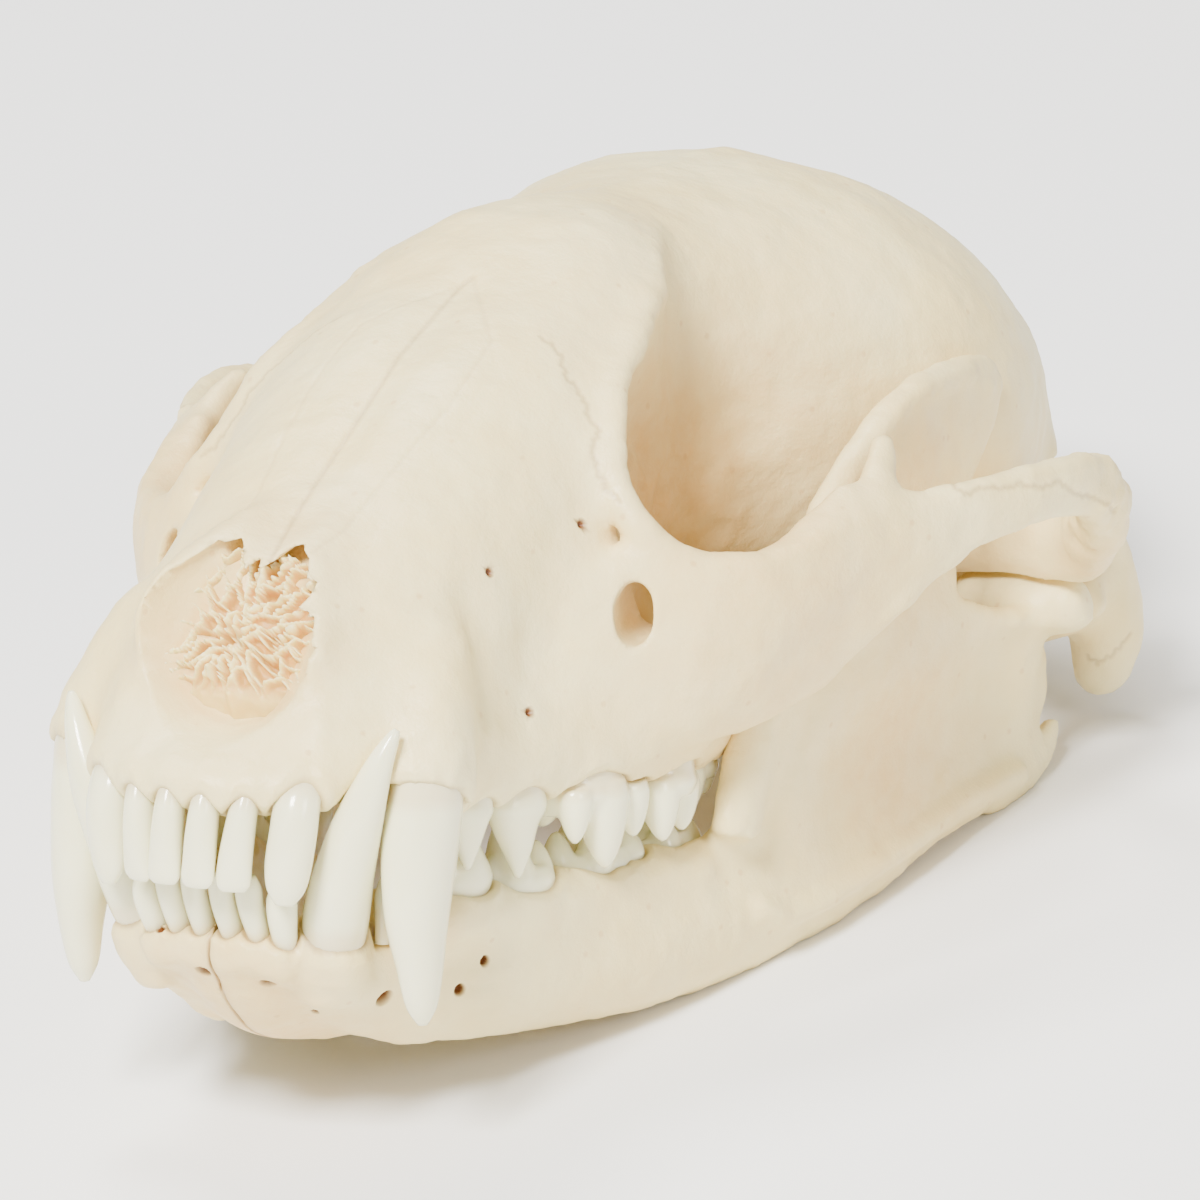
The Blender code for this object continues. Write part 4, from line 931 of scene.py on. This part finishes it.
# below the plates a smooth floor runs back with a low ridge on its middle, and the hub is a deeper hole
depth += floor_share * 1.2 + 0.9 * np.clip(-3.8 - grid_b, 0.0, 9.0) ** 1.4
depth -= 0.9 * floor_share * np.exp(-(grid_a / 0.5) ** 2)
depth += 2.0 * np.exp(-(((grid_a + 1.0) / 0.9) ** 2 + ((grid_b + 0.6) / 0.45) ** 2))
bpy.ops.mesh.primitive_grid_add(x_subdivisions=SCROLL_COLUMNS - 1, y_subdivisions=SCROLL_ROWS - 1, size=2)
scrolls = bpy.context.object
scrolls.name = "nose_scrolls"
places = [SCROLL_MIDDLE + SCROLL_RIGHT * a + SCROLL_UP * b + SCROLL_IN * d
          for a, b, d in zip(grid_a, grid_b, depth)]
scrolls.data.vertices.foreach_set("co", [c for place in places for c in place])
# painted shade: brown deep in the cells between the plate walls, less on the floor
mark_amount(scrolls, "painted_pit_shade", np.clip((1.0 - wall) * 0.9 * (1.0 - 0.75 * floor_share), 0.0, 1.0))
bpy.ops.object.mode_set(mode="EDIT")
bpy.ops.mesh.select_all(action="DESELECT")
bpy.ops.mesh.select_non_manifold()
bpy.ops.mesh.extrude_region_move(TRANSFORM_OT_translate={"value": tuple(SCROLL_IN * 4.0)})
bpy.ops.mesh.edge_face_add()
bpy.ops.mesh.select_all(action="SELECT")
bpy.ops.mesh.quads_convert_to_tris()
bpy.ops.mesh.normals_make_consistent(inside=False)
bpy.ops.object.mode_set(mode="OBJECT")


def scroll_material():
    material, tree, place = start_material("scroll_bone")
    blots = add_node(tree, "TexNoise", {"Vector": place, "Scale": 900}, "Fac")
    # the deep cells are painted brown as shade
    colour = mixed(tree, marked(tree, "painted_pit_shade"), mixed(tree, blots, SCROLL_YELLOW, SCROLL_ORANGE), PIT_SHADE_BROWN)
    feed(tree, tree.nodes["Principled BSDF"], {
        "Base Color": colour, "Roughness": 0.5, "Subsurface Weight": 0.35,
        "Subsurface Radius": (1, 0.5, 0.2), "Subsurface Scale": 0.0012})
    return material


dress(scrolls, scroll_material(), "bone")

# Lower jaw
# Two halves that meet at the chin along a crack that never closed. Each is a stout body with the tooth row,
# and behind it a thin upright plate with the blade for the chewing muscle, the knuckle and the hook.

# body: how far out, how far back, top, foot and half thickness
JAW_BODY = (
    (4.6, 8.5, -10, -13.6, 2.6),
    (5.2, 12, -9, -17.6, 3.5),
    (6, 15.5, -8.6, -19.6, 3.9),
    (7.8, 20, -8.9, -20.9, 4),
    (10.7, 26, -9.8, -21.1, 3.8),
    (13.2, 33, -10.4, -21.1, 3.8),
    (15.4, 40, -10.5, -21, 3.9),
    (17.2, 46, -9.8, -20.6, 3.7),
    (19.2, 52, -9, -19.4, 3.1),
    (21.2, 58, -8.6, -17.8, 2.5),
    (22.9, 66, -8.2, -15.4, 2),
    (24, 74, -8, -12.8, 1.7),
    (24.8, 82, -7.6, -11, 1.6),
    (25, 87, -7.4, -9.6, 1.4),
)
# upright plate: how far back, foot and top; blade: height, front and rear
JAW_PLATE = (
    (46, -19.4, -9), (48, -19.2, -5), (50, -18.8, -0.5), (52, -18.2, 5), (56, -17.4, 8),
    (62, -16.2, 8), (68, -14.4, 8), (74, -12.6, 6.2), (78, -11.4, 4.4), (84, -9.8, 3.6),
    (88, -8.4, 3), (90.2, -4, 0.6),
)
JAW_BLADE = (
    (3, 51, 76), (7, 51.8, 75.2), (10.5, 52.6, 75), (14, 53.8, 77), (17, 55.6, 79.6),
    (20, 58.5, 82), (22.4, 62, 82.2), (24.2, 67, 80.4), (24.9, 71, 78),
)
JAW_FORMS = (
    ("chin", (((0, 5.6, -11.8), 1.7, 5.4), ((0, 8.2, -13.5), 3.2, 4.9), ((0, 12.4, -15.9), 3.8, 4.5),
              ((0, 18, -18), 3, 5.4), ((0, 22, -19.2), 1.7, 6)), UPWARD),
    ("canine_root", (((7.4, 8.4, -11), 2.9, 2.9), ((7, 9.8, -12.4), 3, 3), ((6.8, 12.4, -13.6), 3.4, 3.3),
                     ((7.4, 18, -15.4), 3.5, 3.3)), UPWARD),
    ("rim", [((x, 5.6 + 0.02 * x * x, -12.0 - 0.01 * x * x), 2.1, 2.1) for x in (-2, 0, 2, 4, 5.8)],
     UPWARD),
    ("canine_socket", (((7.9, 8.3, -9.7), 2.6, 2.5), ((7.6, 8.5, -10.7), 2.9, 2.9), ((7.1, 9.2, -13), 3, 3),
                       ((6.6, 10.2, -15.6), 2.4, 2.4)), BACKWARD),
    ("tooth_row", (((9.6, 12.6, -11.2), 1.7, 2.2), ((10.9, 15.2, -10.7), 2.1, 2.4),
                   ((11.6, 20.6, -10.8), 2.4, 2.6), ((12.4, 26, -11.2), 2.6, 2.6),
                   ((14, 33, -11.4), 2.8, 2.6), ((16, 40, -11.2), 2.8, 2.6),
                   ((18, 46, -10.8), 2.4, 2.4)), UPWARD),
    ("front_border", (((21, 46.2, -8.2), 2.2, 1.6), ((21.4, 48.4, -0.5), 2.3, 1.7),
                      ((22.6, 52.2, 8), 1.9, 1.6), ((23.4, 55.6, 15), 1.7, 1.4),
                      ((24.2, 60, 19.8), 1.6, 1.3), ((24.8, 66, 22.8), 1.4, 1.2),
                      ((25, 73, 23.6), 1.3, 1.1), ((25, 79, 22.2), 1.1, 1)), UPWARD),
    ("knuckle", (((19.6, 86, 4.2), 1.5, 1.5), ((21.2, 86.2, 4.2), 2.4, 2.4), ((28.3, 86.6, 4.4), 2.5, 2.5),
                 ((30.4, 86.8, 4.8), 1.6, 1.6)), UPWARD),
    ("neck", (((24.8, 85.4, -5), 3.4, 1.4), ((24.8, 85.8, 0.5), 3.2, 1.9), ((24.8, 86.4, 4), 2.4, 3.4)),
     BACKWARD),
    ("hook", (((24.8, 81, -10.2), 1.8, 1.5), ((25, 86, -9.3), 1.9, 1.5), ((25.2, 89.6, -7.9), 1.5, 1.3),
              ((25.4, 91.8, -5.8), 0.7, 0.7)), UPWARD),
    ("notch_ridge", (((24.6, 75, 5.6), 1.1, 1.1), ((25.2, 80, 3.8), 1.1, 1.2), ((26.4, 85, 3.4), 1.2, 1.4)),
     UPWARD),
)
JAW_RELIEF = (
    (((25.6, 60, -5), (26.4, 70, -4), (26.4, 80, -3)), 8, 1.2, (1, 0, 0)),
    (((25.8, 66, 12), (26.2, 72, 14)), 8, 0.55, (1, 0, 0)),
    (((21.4, 49.6, -14), (22.4, 52.6, -15.2), (24, 60, -13.6), (25.4, 68, -11.6), (26.2, 76, -9.6),
      (26.4, 84, -8.6)), 1.7, -0.95, (1, 0, 0)),
    (((22.6, 48.6, -8), (23.2, 51, -1), (24.4, 54, 7)), 1.8, -0.35, (1, 0, 0)),
    (((25, 58, 20), (25.8, 66, 23.4), (26, 75, 24)), 1.4, -0.3, (1, 0, 0)),
    (((12.9, 19.4, -11.6), (14, 24, -12.6)), 3, 0.25, (1, -0.3, 0)),
    (((9.4, 6.6, -13), (9.6, 10, -15)), 2.6, -0.3, (1, -1, 0)),
    (((2.8, 4.8, -13.4), (4.8, 6.4, -15.6)), 1.9, 0.25, (0, -1, 0)),
)
JAW_VOXEL = 0.48
PLATE_SIDES = 28
PLATE_SQUARENESS = 3.0
BLADE_HALF = 0.9
CHIN_GAP = 0.13
CRACK_WAVE = 0.16
CRACK_RIPPLE = 0.10
HOLE_RIM = 1.3
HOLE_DEPTH = 2.0
# nerve holes where they are seen, each with its radius
LEFT_HOLES = (((385, 999), 0.62), ((485, 961), 0.36), ((460, 990), 0.4), ((268, 983), 0.5),
              ((315, 1012), 0.25))
RIGHT_HOLES = (((203, 972), 0.5), ((160, 930), 0.3))
SHARED_HOLES = 3
# painted shade on the jaw, as a tan tint on the upright plate and its blade, under the chin and the jaw
# body, and behind the canine: centre, reach and strength
JAW_PAINTED_SHADE_PATCHES = (
    ((24, 66, -3), 15, 0.65), ((24, 66, 12), 14, 0.65), ((0, 14, -19), 10, 0.75), ((12, 40, -18), 14, 0.25),
    ((1.5, 7, -15.5), 9, 0.6), ((11.5, 14, -10), 5, 0.55),
)


def plate_middle(y, z):
    """How far out the jaw's upright plate stands at a place along the head and a height."""
    upper = 24.8 - 0.013 * max(0.0, 66.0 - y) ** 2
    lower = 25.0 - 0.006 * max(0.0, 87.0 - y) ** 1.9
    share = min(1.0, max(0.0, (z + 16.0) / 18.0))
    return lower + (upper - lower) * share


turns = [2.0 * math.pi * k / PLATE_SIDES for k in range(PLATE_SIDES)]
rises = [power(math.sin(turn), PLATE_SQUARENESS) for turn in turns]
swings = [power(math.cos(turn), PLATE_SQUARENESS) for turn in turns]
rings = []
for y, foot, top in JAW_PLATE:
    heights = [(foot + top) / 2 + (top - foot) / 2 * rise for rise in rises]
    rings.append([Vector((plate_middle(y, z) + swing, y, z)) for swing, z in zip(swings, heights)])
forms = [draw_out("plate", rings)]
rings = []
for z, front, rear in JAW_BLADE:
    places = [(front + rear) / 2 + (rear - front) / 2 * swing for swing in swings]
    rings.append([Vector((plate_middle(y, z) + BLADE_HALF * rise, y, z)) for rise, y in zip(rises, places)])
forms.append(draw_out("blade", rings))
path = [((x, y, (top + foot) / 2), (top - foot) / 2, thick) for x, y, top, foot, thick in JAW_BODY]
forms.append(draw_along("jaw_body", path))
for label, stations, upright in JAW_FORMS:
    forms.append(draw_along(label, stations, 3, upright=upright))
left_jaw = put_together("left_jaw_bone", forms)
grow_together(left_jaw, JAW_VOXEL)
fill_creases(left_jaw, 34)
for path, reach, depth, facing in JAW_RELIEF:
    press(left_jaw, path, reach, depth, facing, mirror=False)
right_jaw = mirrored(left_jaw)
right_jaw.name = "right_jaw_bone"


def other_half(side):
    """A block over the other half of the chin, with the wavy face of the crack."""
    bpy.ops.mesh.primitive_grid_add(x_subdivisions=60, y_subdivisions=60, size=60)
    half = bpy.context.object
    bpy.ops.object.mode_set(mode="EDIT")
    bpy.ops.mesh.select_all(action="SELECT")
    bpy.ops.mesh.extrude_region_move(TRANSFORM_OT_translate={"value": (0, 0, 30)})
    bpy.ops.object.mode_set(mode="OBJECT")
    for vert in half.data.vertices:
        up, along, away = vert.co
        wave = CRACK_WAVE * noise.noise(Vector((up * 0.9, along * 0.9, 2.0)))
        wave += CRACK_RIPPLE * math.sin(along * 1.7)
        beyond = away + (0 if away < 1 else 1)
        vert.co = Vector((side * CHIN_GAP + wave - side * beyond, along + 22.0, up - 12.0))
    bpy.ops.object.mode_set(mode="EDIT")
    bpy.ops.mesh.select_all(action="SELECT")
    bpy.ops.mesh.normals_make_consistent(inside=False)
    bpy.ops.object.mode_set(mode="OBJECT")
    return half


for jaw, side, seen_holes in ((left_jaw, 1, LEFT_HOLES), (right_jaw, -1, RIGHT_HOLES)):
    carve(jaw, other_half(side))
    spots, normals = read_surface(jaw)
    swell = uneven(spots, 0.18, 0.2, 0.9) * np.clip((np.abs(spots[:, 0]) - 0.6) / 1.0, 0.0, 1.0)
    write_surface(jaw, spots + normals * swell[:, None])
    tree = surface_tree(jaw)
    holes_with_painted_shade = [(trace(tree, (pixel,)), size) for pixel, size in seen_holes]
    if side < 0:
        left_tree = surface_tree(left_jaw)
        shared = [(trace(left_tree, (pixel,)), size) for pixel, size in LEFT_HOLES[:SHARED_HOLES]]
        holes_with_painted_shade += [(across(tree, hole), size) for hole, size in shared]
    holes_with_painted_shade = [(hole, size) for hole, size in holes_with_painted_shade if hole]
    refine(jaw, [hole for hole, size in holes_with_painted_shade], 1.4, 3)
    # the small nerve openings are painted dark brown as the shade inside them
    stain_and_hole_shade = np.zeros(len(jaw.data.vertices))
    for hole, size in holes_with_painted_shade:
        amount = seam_amount(jaw, [hole], size * HOLE_RIM)
        stain_and_hole_shade = np.maximum(stain_and_hole_shade, np.clip(amount * 2.5, 0.0, 1.0))
        sink(jaw, np.clip(amount * 1.8, 0.0, 1.0), size * HOLE_DEPTH)
    mark_amount(jaw, "holes_with_painted_shade", stain_and_hole_shade)
    bed_teeth(jaw, "lower")
    necks = neck_band(nearest_tooth(jaw, "lower"))
    spots, _ = read_surface(jaw)
    seam = np.clip(1.0 - np.abs(spots[:, 0]) / 0.32, 0.0, 1.0) * (spots[:, 1] < 30.0) * 0.5
    stain_and_hole_shade = np.clip(read_amount(jaw, "holes_with_painted_shade") * 1.5, 0.0, 1.0)
    mark_amount(jaw, "stain_and_hole_shade", np.maximum(np.maximum(stain_and_hole_shade, necks * 0.5), seam))
    mark_painted_shade(jaw, JAW_PAINTED_SHADE_PATCHES, (side,))
dress(left_jaw, satin_bone, "bone", "left_jaw")
dress(right_jaw, satin_bone, "bone", "right_jaw")

# Studio
# A plain pale table, large soft lights, and the long lens from the animal's front left.
TABLE_SIZE = 6.0
TABLE_GREY = (0.92, 0.92, 0.92, 1)
SENSOR_WIDTH = 36.0
WORLD_COLOUR = (1, 0.99, 0.97, 1)
LIGHTS = (
    ("top_light", (-0.3, 0.2, 0.9), 0.3, 8.0, (1, 0.985, 0.95)),
    ("front_light", (0.1, -0.8, 0.95), 0.32, 42.0, (1, 0.985, 0.95)),
    ("side_light", (1, -0.3, 0.5), 0.32, 5.0, (1, 0.965, 0.90)),
)
bpy.ops.mesh.primitive_plane_add(size=TABLE_SIZE, location=(0, 0, 0))
floor = bpy.context.object
floor.name = "table_top"
pale = bpy.data.materials.new("pale_table")
pale.use_nodes = True
feed(pale.node_tree, pale.node_tree.nodes["Principled BSDF"], {"Base Color": TABLE_GREY, "Roughness": 0.9})
floor.data.materials.append(pale)

bpy.ops.object.camera_add()
camera = bpy.context.object
camera.name = "studio_camera"
turn = LIE.to_3x3().normalized() @ Matrix((lens_right, lens_up, lens_back)).transposed()
camera.matrix_world = Matrix.Translation(LIE @ lens_place) @ turn.to_4x4()
camera.data.sensor_width = SENSOR_WIDTH
camera.data.lens = FOCAL_PIXELS * SENSOR_WIDTH / PICTURE
camera.data.clip_end = 20.0
bpy.context.scene.camera = camera

world = bpy.data.worlds.new("studio")
bpy.context.scene.world = world
world.use_nodes = True
feed(world.node_tree, world.node_tree.nodes["Background"], {"Color": WORLD_COLOUR, "Strength": 0.5})
for label, place, size, energy, colour in LIGHTS:
    bpy.ops.object.light_add(type="AREA", location=place)
    light = bpy.context.object
    light.name = label
    light.data.energy = energy
    light.data.size = size
    light.data.color = colour
    light.rotation_euler = Vector(place).to_track_quat("Z", "Y").to_euler()
